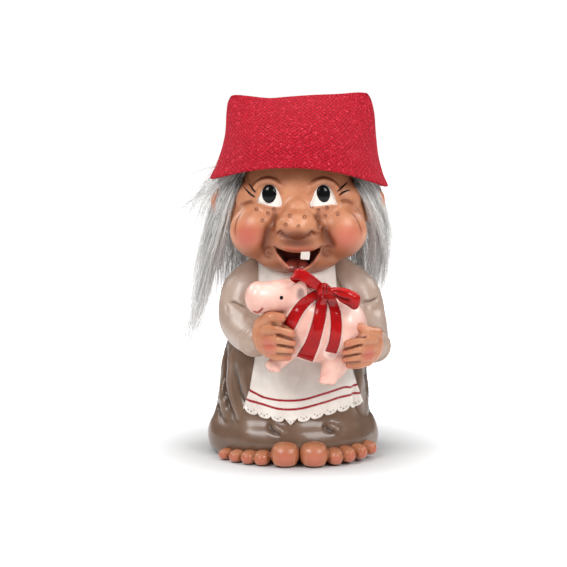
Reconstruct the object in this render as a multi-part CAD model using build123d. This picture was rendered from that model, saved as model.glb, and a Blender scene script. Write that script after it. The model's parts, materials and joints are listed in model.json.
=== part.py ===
"""A troll girl who hugs a piglet: a cast and painted standing figure with a fur wig and a loose cloth cap.

The origin is on the standing face under the middle of the dress. +Z is up, the troll looks along -Y, and +X
is on the right of someone who faces her. Lengths are millimetres. The casting is built up from pieces that
seat on each other: each later piece is cut back by the ones that carry it, so they meet face to face.
"""

from build123d import *

import math
import os

# The dress is a hollow bell, open below, with a neck spigot on top
dress_height = 76.0
hem_half_width = 34.0
hem_half_depth = 29.0
dress_wall = 3.6
neck_radius = 9.0
neck_length = 6.5
pleat_count = 9
ring_points = 4 * pleat_count

# Height, half width, half depth, sideways shift and pleat depth of each ring, as shares
dress_ring_shares = (
    (0.000, 0.965, 0.960, -0.018, 0.004),
    (0.055, 1.003, 1.000, -0.024, 0.008),
    (0.125, 0.985, 0.985, -0.030, 0.016),
    (0.215, 0.912, 0.915, -0.040, 0.022),
    (0.330, 0.870, 0.870, -0.030, 0.022),
    (0.480, 0.842, 0.840, -0.010, 0.018),
    (0.640, 0.790, 0.790, 0.018, 0.010),
    (0.790, 0.690, 0.690, 0.030, 0.004),
    (0.920, 0.515, 0.500, 0.020, 0.002),
    (1.000, 0.370, 0.380, 0.010, 0.001),
)
cavity_top_share = 0.79

# Folds pressed into the skirt: the angle from the right, the height and the lean of each, in degrees
skirt_folds = (
    (-131.0, 30.0, 12.0),
    (-110.0, 34.0, -4.0),
    (-64.0, 30.0, 10.0),
    (-46.0, 24.0, 14.0),
    (-34.0, 32.0, 8.0),
    (-6.0, 34.0, -4.0),
    (24.0, 36.0, 4.0),
    (52.0, 34.0, 6.0),
    (82.0, 38.0, 4.0),
    (110.0, 36.0, -4.0),
    (142.0, 36.0, 4.0),
    (170.0, 34.0, 4.0),
    (-164.0, 30.0, -6.0),
)
fold_radii = (2.0, 1.7, 15.0)
fold_stand_off = 0.9
fold_slope = 6.0

# A flat plate closes the dress from below
plate_thickness = 2.4

# Ten toes stand on the hem's ellipse, the big ones side by side at the front
big_toe_width = 11.2
big_toe_length = 14.0
big_toe_height = 9.6
small_toe_width = 7.0
small_toe_length = 11.0
small_toe_height = 7.2
toe_angles = (9.6, 24.0, 34.0, 45.5, 58.5)
toe_sink_share = 0.10
feet_shift = 0.7
sole_length = 22.0
sole_width = 34.0
sole_height = 6.4
sole_angle = 32.0
sole_inset = 8.6

# The apron is a thin panel on the front of the dress, with a bib and a scalloped hem
apron_thickness = 1.1
apron_flare = 1.3
apron_middle = 2.6
bib_half_width = 15.0
apron_waist_half_width = 19.6
apron_waist_height = 38.0
apron_hem_half_width = 23.9
apron_hem_height = 21.6
apron_hem_sag = 4.4
scallop_count = 10
scallop_depth = 1.5
# How far the flare has grown at each ring of the dress, from the ground up
flare_shares = (1.0, 1.0, 1.0, 1.0, 0.75, 0.3, 0.0, 0.0, 0.0, 0.0)

# Sleeves: a drooping upper arm, an elbow and a forearm that narrows to the cuff
upper_arm_radii = (10.2, 9.6, 14.6)
upper_arm_lean = 24.0
elbow_radius = 9.2
cuff_radius = 5.9
left_upper_arm = (-20.0, -1.0, 62.0)
left_elbow = (-21.4, -7.0, 52.6)
left_cuff = (-15.6, -31.0, 48.4)
right_upper_arm = (23.2, -1.0, 60.5)
right_elbow = (26.4, -7.0, 49.2)
right_cuff = (28.0, -26.5, 45.6)

# Hands: a rounded back, four stacked fingers and a thumb
palm_radii = (6.4, 4.8, 7.6)
finger_count = 4
finger_radius = 2.15
finger_length = 9.6
finger_pitch = 3.75
thumb_radius = 2.3
thumb_length = 9.0
left_palm = (-12.4, -36.4, 50.6)
right_palm = (28.6, -33.0, 46.6)
fingertip_front = 4.6
# How far along each finger its knuckle bends, and how far forward that is
knuckle_bend_share = 0.45
knuckle_front_share = 1.3

# The piglet lies across the front, its head on the left
pig_body = (8.4, -31.0, 54.4)
pig_body_radii = (18.8, 11.8, 15.2)
pig_body_tilt = 8.0
pig_nape = (1.6, -33.6, 65.8)
pig_snout = (-14.4, -37.2, 65.9)
pig_nape_radius = 6.9
pig_snout_radius = 6.0
pig_ear = (1.0, -40.0, 68.4)
pig_ear_radii = (3.0, 1.8, 4.5)
pig_ear_lean = 16.0
trotter_radius = 3.3
front_hip = (-4.5, -33.0, 45.0)
front_trotter = (-8.4, -34.4, 39.2)
rear_hip = (14.6, -32.0, 44.0)
rear_trotter = (14.6, -34.4, 35.6)

# Ribbon strips lie on the piglet's flank. Their outlines are shares of its body radii
ribbon_thickness = 0.7
ribbon_reach_share = 1.6
left_tail_shares = ((-0.12, 0.90), (-0.424, 0.507), (-0.768, 0.105), (-0.557, -0.06), (-0.31, 0.30), (-0.06, 0.76))
band_shares = (
    (-0.07, 0.95),
    (-0.146, 0.309),
    (-0.238, -0.086),
    (-0.389, -0.50),
    (-0.60, -0.95),
    (-0.25, -1.05),
    (-0.10, -0.62),
    (0.0, -0.27),
    (0.097, 0.19),
    (0.16, 0.92),
)
right_tail_shares = ((0.20, 0.93), (0.265, 0.19), (0.114, -0.546), (0.357, -0.553), (0.443, -0.04), (0.38, 0.78))

# The bow: a knot with a flattened loop on each side, dished where the ribbon turns back
bow_knot = (10.6, -39.4, 68.0)
bow_knot_radii = (2.9, 3.0, 2.9)
left_loop_length = 14.6
left_loop_height = 8.4
left_loop_rise = 36.0
right_loop_length = 15.6
right_loop_height = 7.4
right_loop_rise = -11.0
loop_depth = 6.0
dish_share = 0.55
dish_sink = 1.2

# The head is an egg, widest at the cheeks, on the neck spigot
head_middle = 0.4
head_equator = 92.5
head_half_width = 27.2
head_half_depth = 25.0
head_below = 21.2
head_above = 38.0
cheek_place_shares = (0.57, -0.54, -0.14)
cheek_radii = (11.4, 10.4, 10.6)
nose_place_shares = (0.0, -1.08, -0.02)
nose_radii = (6.7, 6.6, 5.6)
nostril_place_shares = (0.262, -0.985, -0.01)
nostril_radii = (3.5, 3.4, 3.3)
lip_place_shares = (0.0, -0.82, -0.34)
lip_radii = (11.2, 7.0, 5.4)
jaw_place_shares = (0.0, -0.52, -0.55)
jaw_radii = (17.5, 11.5, 9.4)
chin_place_shares = (0.0, -0.68, -0.72)
chin_radii = (9.6, 7.0, 5.4)

# Eyes: a white, a domed black pupil and the lid that the head's skin makes round them
eye_place_shares = (0.383, -0.77, 0.28)
eye_radii = (6.6, 5.0, 7.0)
eye_opening_radii = (5.2, 5.5)
eye_seat_depth = 2.0
lid_radii = (6.5, 4.2, 6.9)
lid_lift = 0.9
pupil_radii = (2.95, 1.6, 3.45)
pupil_front = 4.2
pupil_aside = 0.35

# The open mouth, with one tooth and a tongue
mouth_half_width = 8.0
mouth_top = 84.0
mouth_sag = 1.6
mouth_depth_down = 8.0
mouth_depth_in = 9.0
tooth_width = 3.5
tooth_height = 3.4
tooth_thickness = 2.0
tooth_aside = 2.5
tooth_inset = 2.4
tongue_radii = (5.6, 5.2, 3.0)
tongue_aside = -0.8

# Ears stand out of the head under the cap's rim
ear_radii = (5.4, 2.8, 7.4)
ear_dish_radii = (3.0, 1.8, 5.0)
ear_out = 29.6
ear_back = -0.6
ear_height = 98.6
ear_lean = 12.0
ear_dish_forward = 2.4
ear_dish_out = 1.0

# Wig: a woven backing glued to the skull, and the fur that hangs from it
backing_thickness = 3.0
hairline_tilt = 24.0
hairline_height = 108.0

# The fur hangs as a curtain behind the ears, cut into a back mass and two side masses
hair_top = 107.0
hair_length = 66.0
hair_spread = 38.0
hair_depth = 8.0
hair_front = 3.0
hair_part = 21.0
right_hair_end = 56.0
# Drop, half width, half depth, setback and thickness of each ring of the curtain, as shares
curtain_shares = (
    (0.00, 0.830, 0.660, 0.20, 0.60),
    (0.09, 0.920, 0.730, 0.20, 0.85),
    (0.26, 0.985, 0.815, 0.25, 1.00),
    (0.48, 1.000, 0.855, 0.38, 1.00),
    (0.71, 0.990, 0.855, 0.50, 0.80),
    (0.89, 0.975, 0.830, 0.62, 0.42),
    (1.00, 0.960, 0.800, 0.70, 0.15),
)
# A wisp flies out from under the cap on the left
wisp_root = (-31.0, 9.0, 101.0)
wisp_tip = (-48.0, 13.0, 85.0)
wisp_root_radius = 4.6
wisp_tip_radius = 1.2

# The cap is one cone of cloth, its tip folded down behind, so that the fold makes a straight ridge
cloth_thickness = 1.0
cap_middle = 0.6
cap_hem_height = 108.0
cap_hem_back = 3.2
cap_hem_half_width = 34.7
cap_hem_half_depth = 28.2
cap_hem_tilt = 11.5
cap_hem_roll = 2.8
cap_rise = 33.6
cap_ridge_roll = -1.7
# Height, half width, half depth, setback and lean of each ring of the cap, as shares
cap_ring_shares = (
    (0.00, 1.000, 1.000, 1.00, 1.00),
    (0.25, 0.950, 0.930, 0.90, 0.70),
    (0.50, 0.896, 0.770, 0.80, 0.40),
    (0.76, 0.846, 0.460, 0.75, 0.15),
    (1.00, 0.764, 0.070, 0.75, 0.00),
)
# The folded tip lies on the rings of the cap's back, and narrows by these shares of the ridge's width
flap_width_shares = (0.93, 0.62, 0.30, 0.09)
flap_half_thickness = 1.5
flap_end_shares = (0.34, 0.925, 0.90, 0.86, 0.60)

# Cutters run past the piece by a whole figure
reach = 200.0


def blob(centre, radii, turn=(0, 0, 0), seam=90):
    """An ellipsoid of these radii, turned about X, Y and Z in degrees, at a centre.

    Its skin closes along a seam, at an angle round its upright axis: 90 is at the back, 0 on the right.
    """
    wide, deep, tall = radii
    if seam % 180:
        wide, deep = deep, wide
    return Pos(*centre) * Rot(*turn) * Rot(0, 0, seam) * scale(Sphere(1), by=(wide, deep, tall))


def largest(shape):
    """The largest solid of a shape, which drops the crumbs that a cut can leave."""
    return max(shape.solids(), key=lambda solid: solid.volume)


def seated(piece, *carriers):
    """The piece, cut back by the pieces that carry it or lie against it."""
    for carrier in carriers:
        piece = piece - carrier
    return largest(piece)


def between(start, end, share):
    """The point at a share of the way from start to end."""
    return tuple(a + (b - a) * share for a, b in zip(start, end))


def capsule(start, end, radius, end_radius=None):
    """A round-ended rod from start to end, which may taper."""
    end_radius = radius if end_radius is None else end_radius
    way = Vector(*end) - Vector(*start)
    near = Plane(origin=start, z_dir=way)
    far = Plane(origin=end, z_dir=way)
    rod = loft([near * Circle(radius), far * Circle(end_radius)])
    return rod + Pos(*start) * Sphere(radius) + Pos(*end) * Sphere(end_radius)


def dress_ring(height, half_width, half_depth, shift, pleat_share):
    """One closed ring of the dress: an ellipse, with soft pleats at the sides and the back if it has a share."""
    if pleat_share == 0:
        return Pos(shift, 0, height) * Ellipse(half_width, half_depth)
    points = []
    for step in range(ring_points):
        angle = 2 * math.pi * step / ring_points
        behind = 1 - max(0, -math.sin(angle))
        swell = 1 + pleat_share * behind * math.cos(pleat_count * angle)
        points.append((shift + half_width * swell * math.cos(angle), half_depth * swell * math.sin(angle)))
    return Pos(0, 0, height) * make_face(Spline(points, periodic=True))


def dress_bell(grown=0.0, flare=0.0, pleated=False, top_share=1.0):
    """The dress as a solid bell, grown outwards evenly and more towards the hem by the flare."""
    rings = []
    for (height, width, depth, shift, pleat), flare_share in zip(dress_ring_shares, flare_shares):
        if height <= top_share:
            out = grown + flare * flare_share
            rings.append(
                dress_ring(
                    height * dress_height,
                    width * hem_half_width + out,
                    depth * hem_half_depth + out,
                    shift * hem_half_width,
                    pleat if pleated else 0,
                )
            )
    return loft(rings)


def hem_place(angle, side):
    """A point of the hem's ellipse, at an angle in degrees from the front towards a side."""
    turn = math.radians(angle)
    return (feet_shift + side * hem_half_width * math.sin(turn), -hem_half_depth * math.cos(turn))


def make_foot(side):
    """Five toes and the flat sole that carries them under the hem."""
    along, back = hem_place(sole_angle, side)
    inset_share = 1 - sole_inset / hem_half_depth
    sole_radii = (sole_width / 2, sole_length / 2, sole_height)
    foot = blob((along * inset_share, back * inset_share, 0), sole_radii, (0, 0, side * sole_angle))
    for number, angle in enumerate(toe_angles):
        if number == 0:
            width, length, height = big_toe_width, big_toe_length, big_toe_height
        else:
            width, length, height = small_toe_width, small_toe_length, small_toe_height
        x, y = hem_place(angle, side)
        centre = (x, y, height * (1 - toe_sink_share) / 2)
        foot = foot + blob(centre, (width / 2, length / 2, height / 2), (0, 0, side * angle))
    half = Pos(feet_shift, 0, 0) * Box(
        reach,
        reach,
        reach,
        align=(Align.MIN if side > 0 else Align.MAX, Align.CENTER, Align.MIN),
    )
    return largest(foot & half)


def skirt_place(angle, height):
    """A point of the skirt's outside, at an angle in degrees from the right and a height."""
    share = height / dress_height
    for low, high in zip(dress_ring_shares, dress_ring_shares[1:]):
        if low[0] <= share <= high[0]:
            part = (share - low[0]) / (high[0] - low[0])
            _, width, depth, shift, _ = between(low, high, part)
    turn = math.radians(angle)
    x = shift * hem_half_width + width * hem_half_width * math.cos(turn)
    return (x, depth * hem_half_depth * math.sin(turn), height)


def make_folds():
    """The slender cutters that press the folds into the skirt."""
    folds = []
    for angle, height, lean in skirt_folds:
        x, y, z = skirt_place(angle, height)
        cutter = blob((fold_stand_off, 0, 0), fold_radii, (lean, -fold_slope, 0), seam=0)
        folds.append(Pos(x, y, z) * Rot(0, 0, angle) * cutter)
    return folds


def make_dress(solid, feet):
    """The hollow bell with its neck spigot, pressed by the folds and notched for the feet."""
    cavity = dress_bell(grown=-dress_wall, top_share=cavity_top_share)
    spigot = Pos(0, 0, dress_height - neck_length) * Cylinder(
        neck_radius, 2 * neck_length, align=(Align.CENTER, Align.CENTER, Align.MIN)
    )
    dress = solid + spigot - cavity - make_folds()
    return seated(dress, *feet)


def make_plate(feet):
    """The closing plate, which fills the mouth of the cavity flush with the rim."""
    cavity = dress_bell(grown=-dress_wall, top_share=cavity_top_share)
    slab = Box(reach, reach, plate_thickness, align=(Align.CENTER, Align.CENTER, Align.MIN))
    return seated(cavity & slab, *feet)


def hem_line(share):
    """A point of the apron's hem line, from -1 at its left corner to 1 at its right one."""
    return (
        apron_middle + share * apron_hem_half_width,
        apron_hem_height - apron_hem_sag * (1 - share * share),
    )


def make_apron(bell):
    """Bib and skirt panel in one, following the dress and ending in round scallops."""
    corners = [hem_line(2 * step / scallop_count - 1) for step in range(scallop_count + 1)]
    edges = []
    for start, end in zip(corners, corners[1:]):
        low = ((start[0] + end[0]) / 2, (start[1] + end[1]) / 2 - scallop_depth)
        edges.append(ThreePointArc(start, low, end))
    right = [
        corners[-1],
        (apron_middle + apron_waist_half_width, apron_waist_height),
        (bib_half_width, dress_height),
    ]
    left = [
        (-bib_half_width, dress_height),
        (apron_middle - apron_waist_half_width, apron_waist_height),
        corners[0],
    ]
    edges += [Line(a, b) for a, b in zip(right, right[1:])]
    edges.append(Line(right[-1], left[0]))
    edges += [Line(a, b) for a, b in zip(left, left[1:])]
    outline = extrude(Plane.XZ * make_face(edges), amount=reach)
    panel = dress_bell(grown=apron_thickness, flare=apron_flare) & outline
    return seated(panel, bell)


def make_sleeve(side, upper_arm, elbow, cuff, *carriers):
    """A full upper arm that meets the forearm in a crease at the elbow."""
    sleeve = blob(upper_arm, upper_arm_radii, (0, side * -upper_arm_lean, 0))
    sleeve = sleeve + Pos(*elbow) * Sphere(elbow_radius)
    way = Vector(*cuff) - Vector(*elbow)
    middle = between(elbow, cuff, 0.5)
    rings = [
        Plane(origin=elbow, z_dir=way) * Circle(elbow_radius),
        Plane(origin=middle, z_dir=way) * Circle((elbow_radius + cuff_radius) / 2),
        Plane(origin=cuff, z_dir=way) * Circle(cuff_radius),
    ]
    return seated(sleeve + loft(rings), *carriers)


def make_hand(side, palm, *carriers):
    """A hand that lies on the piglet, its fingers pointing to the middle. Side is that of the wrist."""
    hand = blob(palm, palm_radii)
    for number in range(finger_count):
        lift = ((finger_count - 1) / 2 - number) * finger_pitch
        root = (palm[0], palm[1] - fingertip_front / 2, palm[2] + lift - thumb_radius / 2)
        tip = (
            palm[0] - side * finger_length,
            palm[1] - fingertip_front,
            palm[2] + lift * (1 - finger_radius / palm_radii[2]) - thumb_radius / 2,
        )
        bend = between(root, tip, knuckle_bend_share)
        knuckle = (bend[0], palm[1] - fingertip_front * knuckle_front_share, bend[2])
        hand = hand + capsule(root, knuckle, finger_radius) + capsule(knuckle, tip, finger_radius)
    thumb_root = (palm[0], palm[1], palm[2] + palm_radii[2] - thumb_radius)
    thumb_tip = (
        palm[0] - side * thumb_length / 2,
        palm[1] - fingertip_front,
        palm[2] + palm_radii[2] + thumb_radius / 2,
    )
    hand = hand + capsule(thumb_root, thumb_tip, thumb_radius)
    return seated(hand, *carriers)


def make_pig(*carriers):
    """The piglet in one casting: barrel, head, snout, near ear and the two legs that show."""
    pig = blob(pig_body, pig_body_radii, (0, pig_body_tilt, 0))
    pig = pig + capsule(pig_nape, pig_snout, pig_nape_radius, pig_snout_radius)
    pig = pig + blob(pig_ear, pig_ear_radii, (0, pig_ear_lean, 0))
    pig = pig + capsule(front_hip, front_trotter, trotter_radius)
    pig = pig + capsule(rear_hip, rear_trotter, trotter_radius)
    return seated(pig, *carriers)


def make_strip(shares, *carriers):
    """A ribbon strip of the outline given, laid on the near flank of the piglet."""
    points = [(pig_body[0] + u * pig_body_radii[0], pig_body[2] + w * pig_body_radii[2]) for u, w in shares]
    outline = Plane.XZ * make_face(Polyline(*points, close=True))
    front = pig_body_radii[1] * ribbon_reach_share
    cutter = Pos(0, pig_body[1], 0) * extrude(outline, amount=front)
    outer_radii = tuple(radius + ribbon_thickness for radius in pig_body_radii)
    skin = blob(pig_body, outer_radii, (0, pig_body_tilt, 0))
    return seated(skin & cutter, *carriers)


def make_loop(side, length, height, rise, *carriers):
    """One flattened loop of the bow, from the knot outwards, with a dish in its front."""
    radii = (length / 2, loop_depth / 2, height / 2)
    dish_radii = tuple(radius * dish_share for radius in radii)
    dish_place = (side * length / 2, dish_radii[1] - radii[1] - dish_sink, 0)
    seam = 0 if side > 0 else 180
    outer = blob((side * length / 2, 0, 0), radii, seam=seam) - blob(dish_place, dish_radii, seam=seam)
    loop = Pos(*bow_knot) * Rot(0, -side * rise, 0) * outer
    return seated(loop, *carriers)


def egg(grown=0.0):
    """The head's plain egg, grown outwards evenly."""
    width = head_half_width + grown
    below = head_below + grown
    above = head_above + grown
    lower = EllipticalCenterArc((0, 0), width, below, start_angle=-90, arc_size=90)
    upper = EllipticalCenterArc((0, 0), width, above, start_angle=0, arc_size=90)
    spine = Line((0, above), (0, -below))
    half = Plane.XZ * make_face([lower, upper, spine])
    body = revolve(half, axis=Axis.Z)
    depth_ratio = (head_half_depth + grown) / width
    return Pos(head_middle, 0, head_equator) * Rot(0, 0, 90) * scale(body, by=(depth_ratio, 1, 1))


def on_head(shares, side=1):
    """A place in the head as shares of its half width, half depth and the height above or below its equator."""
    x, y, z = shares
    tall = head_above if z > 0 else head_below
    return (head_middle + side * x * head_half_width, y * head_half_depth, head_equator + z * tall)


def mouth_cutter():
    """The smile as a block that runs into the head from the front."""
    left = (head_middle - mouth_half_width, mouth_top)
    right = (head_middle + mouth_half_width, mouth_top)
    upper = ThreePointArc(left, (head_middle, mouth_top - mouth_sag), right)
    lower = ThreePointArc(right, (head_middle, mouth_top - mouth_depth_down), left)
    smile = extrude(Plane.XZ * make_face([upper, lower]), amount=reach)
    lip_front = on_head(lip_place_shares)[1] - lip_radii[1]
    return Pos(0, lip_front + mouth_depth_in, 0) * smile


def eye_socket(side):
    """The straight oval hole that an eye is set in, from its flat floor forwards."""
    x, y, z = on_head(eye_place_shares, side)
    return Pos(x, y + eye_seat_depth, z) * extrude(Plane.XZ * Ellipse(*eye_opening_radii), amount=reach)


def make_eyes(side):
    """The domed white and the pupil of one eye, the pupil standing proud like a bead."""
    centre = on_head(eye_place_shares, side)
    pupil_centre = (centre[0] - side * pupil_aside, centre[1] - pupil_front, centre[2])
    pupil = blob(pupil_centre, pupil_radii)
    white = blob(centre, eye_radii) & eye_socket(side)
    return seated(white, pupil), largest(pupil)


def make_head(*carriers):
    """The head with cheeks, nose, lips and lids, hollowed for the mouth and the eyes."""
    head = egg()
    for side in (-1, 1):
        head = head + blob(on_head(cheek_place_shares, side), cheek_radii)
        x, y, z = on_head(eye_place_shares, side)
        head = head + blob((x, y, z + lid_lift), lid_radii)
        head = head - eye_socket(side)
        head = head + blob(on_head(nostril_place_shares, side), nostril_radii)
    head = head + blob(on_head(jaw_place_shares), jaw_radii)
    head = head + blob(on_head(nose_place_shares), nose_radii)
    head = head + blob(on_head(lip_place_shares), lip_radii)
    head = head + blob(on_head(chin_place_shares), chin_radii)
    head = head - mouth_cutter()
    return seated(head, *carriers)


def make_tooth():
    """One tooth, hanging from the roof of the mouth."""
    lip_front = on_head(lip_place_shares)[1] - lip_radii[1]
    block = Box(tooth_width, tooth_thickness, tooth_height, align=(Align.CENTER, Align.MIN, Align.MAX))
    block = fillet(block.edges().filter_by(Axis.Y), tooth_thickness / 4)
    tooth = Pos(head_middle + tooth_aside, lip_front + tooth_inset, mouth_top - mouth_sag / 2) * block
    return largest(tooth & mouth_cutter())


def make_tongue(tooth):
    """The tongue, on the floor of the mouth."""
    back = on_head(lip_place_shares)[1] - lip_radii[1] + mouth_depth_in
    centre = (head_middle + tongue_aside, back - tongue_radii[1], mouth_top - mouth_depth_down)
    return seated(blob(centre, tongue_radii) & mouth_cutter(), tooth)


def make_ear(side, *carriers):
    """One ear, a flat oval dished on its front."""
    centre = (head_middle + side * ear_out, ear_back, ear_height)
    dish = (centre[0] + side * ear_dish_out, ear_back - ear_dish_forward, ear_height)
    turn = (0, side * ear_lean, 0)
    seam = 180 if side > 0 else 0
    return seated(blob(centre, ear_radii, turn, seam) - blob(dish, ear_dish_radii, turn, seam), *carriers)


def make_backing(head):
    """The wig's woven backing, a thin shell on the skull above a hairline that drops to the back."""
    keep = Box(reach, reach, reach, align=(Align.CENTER, Align.CENTER, Align.MIN))
    keep = Pos(0, 0, hairline_height) * Rot(-hairline_tilt, 0, 0) * keep
    return seated(egg(grown=backing_thickness) & keep, egg(), head)


def hair_loft(inwards):
    """The curtain's outside as a solid bell, drawn in by a share of the fur's thickness."""
    sections = []
    for drop, width, depth, setback, thick in curtain_shares:
        inset = inwards * thick * hair_depth
        place = Pos(head_middle, setback * hair_depth, hair_top - drop * hair_length)
        sections.append(place * Ellipse(width * hair_spread - inset, depth * hair_spread - inset))
    return loft(sections)


def make_hair(*carriers):
    """The left, back and right masses of fur as plain closed solids."""
    behind = Pos(0, hair_front, 0) * Box(reach, reach, reach, align=(Align.CENTER, Align.MIN, Align.MIN))
    curtain = (hair_loft(0) - hair_loft(1)) & behind
    middle = Box(2 * hair_part, reach, reach, align=(Align.CENTER, Align.CENTER, Align.MIN))
    left = Pos(-hair_part, 0, 0) * Box(reach, reach, reach, align=(Align.MAX, Align.CENTER, Align.MIN))
    right = Pos(hair_part, 0, right_hair_end) * Box(reach, reach, reach, align=(Align.MIN, Align.CENTER, Align.MIN))
    wisp = capsule(wisp_root, wisp_tip, wisp_root_radius, wisp_tip_radius)
    left_mass = largest(curtain & left) + wisp
    masses = (left_mass, curtain & middle, curtain & right)
    return tuple(seated(largest(mass), *carriers) for mass in masses)


def cap_ring(shares, thinner=0.0):
    """One ring of the cap, drawn in by the cloth's thickness for the inside."""
    height, width, depth, setback, lean = shares
    place = Pos(cap_middle, cap_hem_back * setback, cap_hem_height + cap_rise * height - thinner * height)
    roll = cap_hem_roll * lean + cap_ridge_roll * (1 - lean)
    turn = Rot(-cap_hem_tilt * lean, roll, 0)
    return place * turn * Ellipse(cap_hem_half_width * width - thinner, cap_hem_half_depth * depth - thinner)


def cap_back(shares):
    """The rearmost point of a ring of the cap."""
    height, width, depth, setback, lean = shares
    half_depth = cap_hem_half_depth * depth
    tilt = math.radians(cap_hem_tilt * lean)
    y = cap_hem_back * setback + half_depth * math.cos(tilt)
    z = cap_hem_height + cap_rise * height - half_depth * math.sin(tilt)
    return Vector(cap_middle, y, z)


def make_cap():
    """The cap: a tent from the round hem to the ridge, and the folded tip lying on its back."""
    outside = loft([cap_ring(shares) for shares in cap_ring_shares])
    inside = loft([cap_ring(shares, cloth_thickness) for shares in cap_ring_shares])
    ridge = cap_back(cap_ring_shares[-1]) - Vector(0, flap_half_thickness, flap_half_thickness)
    rings = (cap_ring_shares[3], cap_ring_shares[2], flap_end_shares)
    points = [ridge] + [cap_back(shares) for shares in rings]
    half_width = cap_hem_half_width * cap_ring_shares[-1][1]
    sections = []
    for number, (point, width_share) in enumerate(zip(points, flap_width_shares)):
        before = points[max(number - 1, 0)]
        after = points[min(number + 1, len(points) - 1)]
        section = Plane(origin=point, x_dir=(1, 0, 0), z_dir=after - before)
        sections.append(section * Ellipse(half_width * width_share, flap_half_thickness))
    return largest(outside + loft(sections) - inside)


def build():
    """Every piece of the figure, by name, each seated on the ones before it."""
    pieces = {}
    feet = [make_foot(-1), make_foot(1)]
    bell = dress_bell(pleated=True)
    dress = make_dress(bell, feet)
    apron = make_apron(bell)
    clothes = (bell, apron)
    left_sleeve = make_sleeve(-1, left_upper_arm, left_elbow, left_cuff, *clothes)
    right_sleeve = make_sleeve(1, right_upper_arm, right_elbow, right_cuff, *clothes)
    pig = make_pig(*clothes, left_sleeve, right_sleeve)
    around = (*clothes, left_sleeve, right_sleeve, pig)
    left_hand = make_hand(-1, left_palm, *around)
    right_hand = make_hand(1, right_palm, *around)
    held = (pig, left_hand, right_hand)
    pieces["left_foot"], pieces["right_foot"] = feet
    pieces["dress_body"] = dress
    pieces["base_plate"] = make_plate(feet)
    pieces["apron"] = apron
    pieces["left_sleeve"] = left_sleeve
    pieces["right_sleeve"] = right_sleeve
    pieces["pig"] = pig
    pieces["left_hand"] = left_hand
    pieces["right_hand"] = right_hand

    band = make_strip(band_shares, *held, apron)
    left_tail = make_strip(left_tail_shares, *held, band)
    right_tail = make_strip(right_tail_shares, *held, band)
    strips = (band, left_tail, right_tail)
    knot = seated(blob(bow_knot, bow_knot_radii), pig, *strips)
    left_loop = make_loop(-1, left_loop_length, left_loop_height, left_loop_rise, pig, *strips, knot)
    right_loop = make_loop(1, right_loop_length, right_loop_height, right_loop_rise, pig, *strips, knot)
    pieces["ribbon_band"] = band
    pieces["ribbon_left_tail"] = left_tail
    pieces["ribbon_right_tail"] = right_tail
    pieces["bow_knot"] = knot
    pieces["bow_left_loop"] = left_loop
    pieces["bow_right_loop"] = right_loop

    left_white, left_pupil = make_eyes(-1)
    right_white, right_pupil = make_eyes(1)
    head = make_head(dress, apron, left_sleeve, right_sleeve)
    tooth = make_tooth()
    pieces["head"] = head
    pieces["left_eye_white"] = left_white
    pieces["right_eye_white"] = right_white
    pieces["left_pupil"] = left_pupil
    pieces["right_pupil"] = right_pupil
    pieces["tooth"] = tooth
    pieces["tongue"] = make_tongue(tooth)
    left_ear = make_ear(-1, head)
    right_ear = make_ear(1, head)
    pieces["left_ear"] = left_ear
    pieces["right_ear"] = right_ear
    backing = make_backing(head)
    pieces["wig_backing"] = backing
    under_hair = (backing, head, left_ear, right_ear, bell, left_sleeve, right_sleeve)
    left_hair, back_hair, right_hair = make_hair(*under_hair)
    pieces["hair_left"] = left_hair
    pieces["hair_back"] = back_hair
    pieces["hair_right"] = right_hair
    pieces["cap"] = make_cap()
    return pieces


os.makedirs("parts", exist_ok=True)
for name, piece in build().items():
    export_step(piece, f"parts/{name}.step")
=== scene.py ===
"""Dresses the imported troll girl: sculpted and painted casting, fur wig, woven cap, and a pale studio.

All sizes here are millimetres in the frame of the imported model: +Z up, the troll looks along -Y, and +X is
on the right of someone who faces her. A finished piece is turned into metres when its mesh is handed over.
"""

from __future__ import annotations

import json
import logging
import math
from dataclasses import dataclass, field, replace
from enum import Enum
from typing import Callable, Iterable, Sequence

import bmesh
import bpy
import numpy as np
from mathutils import Euler, Matrix, Vector
from mathutils.bvhtree import BVHTree

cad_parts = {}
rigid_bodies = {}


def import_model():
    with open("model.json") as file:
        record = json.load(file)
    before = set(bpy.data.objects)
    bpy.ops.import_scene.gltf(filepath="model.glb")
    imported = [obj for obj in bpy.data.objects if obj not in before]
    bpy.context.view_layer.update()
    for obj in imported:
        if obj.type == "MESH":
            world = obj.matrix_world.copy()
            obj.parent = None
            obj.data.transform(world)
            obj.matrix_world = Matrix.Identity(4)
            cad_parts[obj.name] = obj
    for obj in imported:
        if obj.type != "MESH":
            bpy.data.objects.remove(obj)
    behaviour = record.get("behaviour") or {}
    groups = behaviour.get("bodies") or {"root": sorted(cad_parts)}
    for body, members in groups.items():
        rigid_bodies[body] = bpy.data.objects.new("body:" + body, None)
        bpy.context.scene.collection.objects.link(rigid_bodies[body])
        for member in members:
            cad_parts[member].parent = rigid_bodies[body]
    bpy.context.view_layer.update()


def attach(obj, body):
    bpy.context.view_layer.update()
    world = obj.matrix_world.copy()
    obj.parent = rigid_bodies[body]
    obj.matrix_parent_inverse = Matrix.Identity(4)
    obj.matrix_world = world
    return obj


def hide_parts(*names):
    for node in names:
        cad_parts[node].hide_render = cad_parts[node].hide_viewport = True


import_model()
MM = 0.001
FIGURE = "figure"
CAP = "cap"
log = logging.getLogger("troll")

Point = tuple[float, float, float]
Flat = tuple[float, float]
Array = np.ndarray
Mesh = bpy.types.Mesh
Piece = bpy.types.Object
Finish = bpy.types.Material
Socket = bpy.types.NodeSocket
Chance = np.random.Generator


class Side(Enum):
    """The side of the figure, as someone who faces her sees it."""

    LEFT = -1
    RIGHT = 1

    @property
    def word(self) -> str:
        """The side's name in a piece's name."""
        return self.name.lower()


# Colours and finishes


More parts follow.
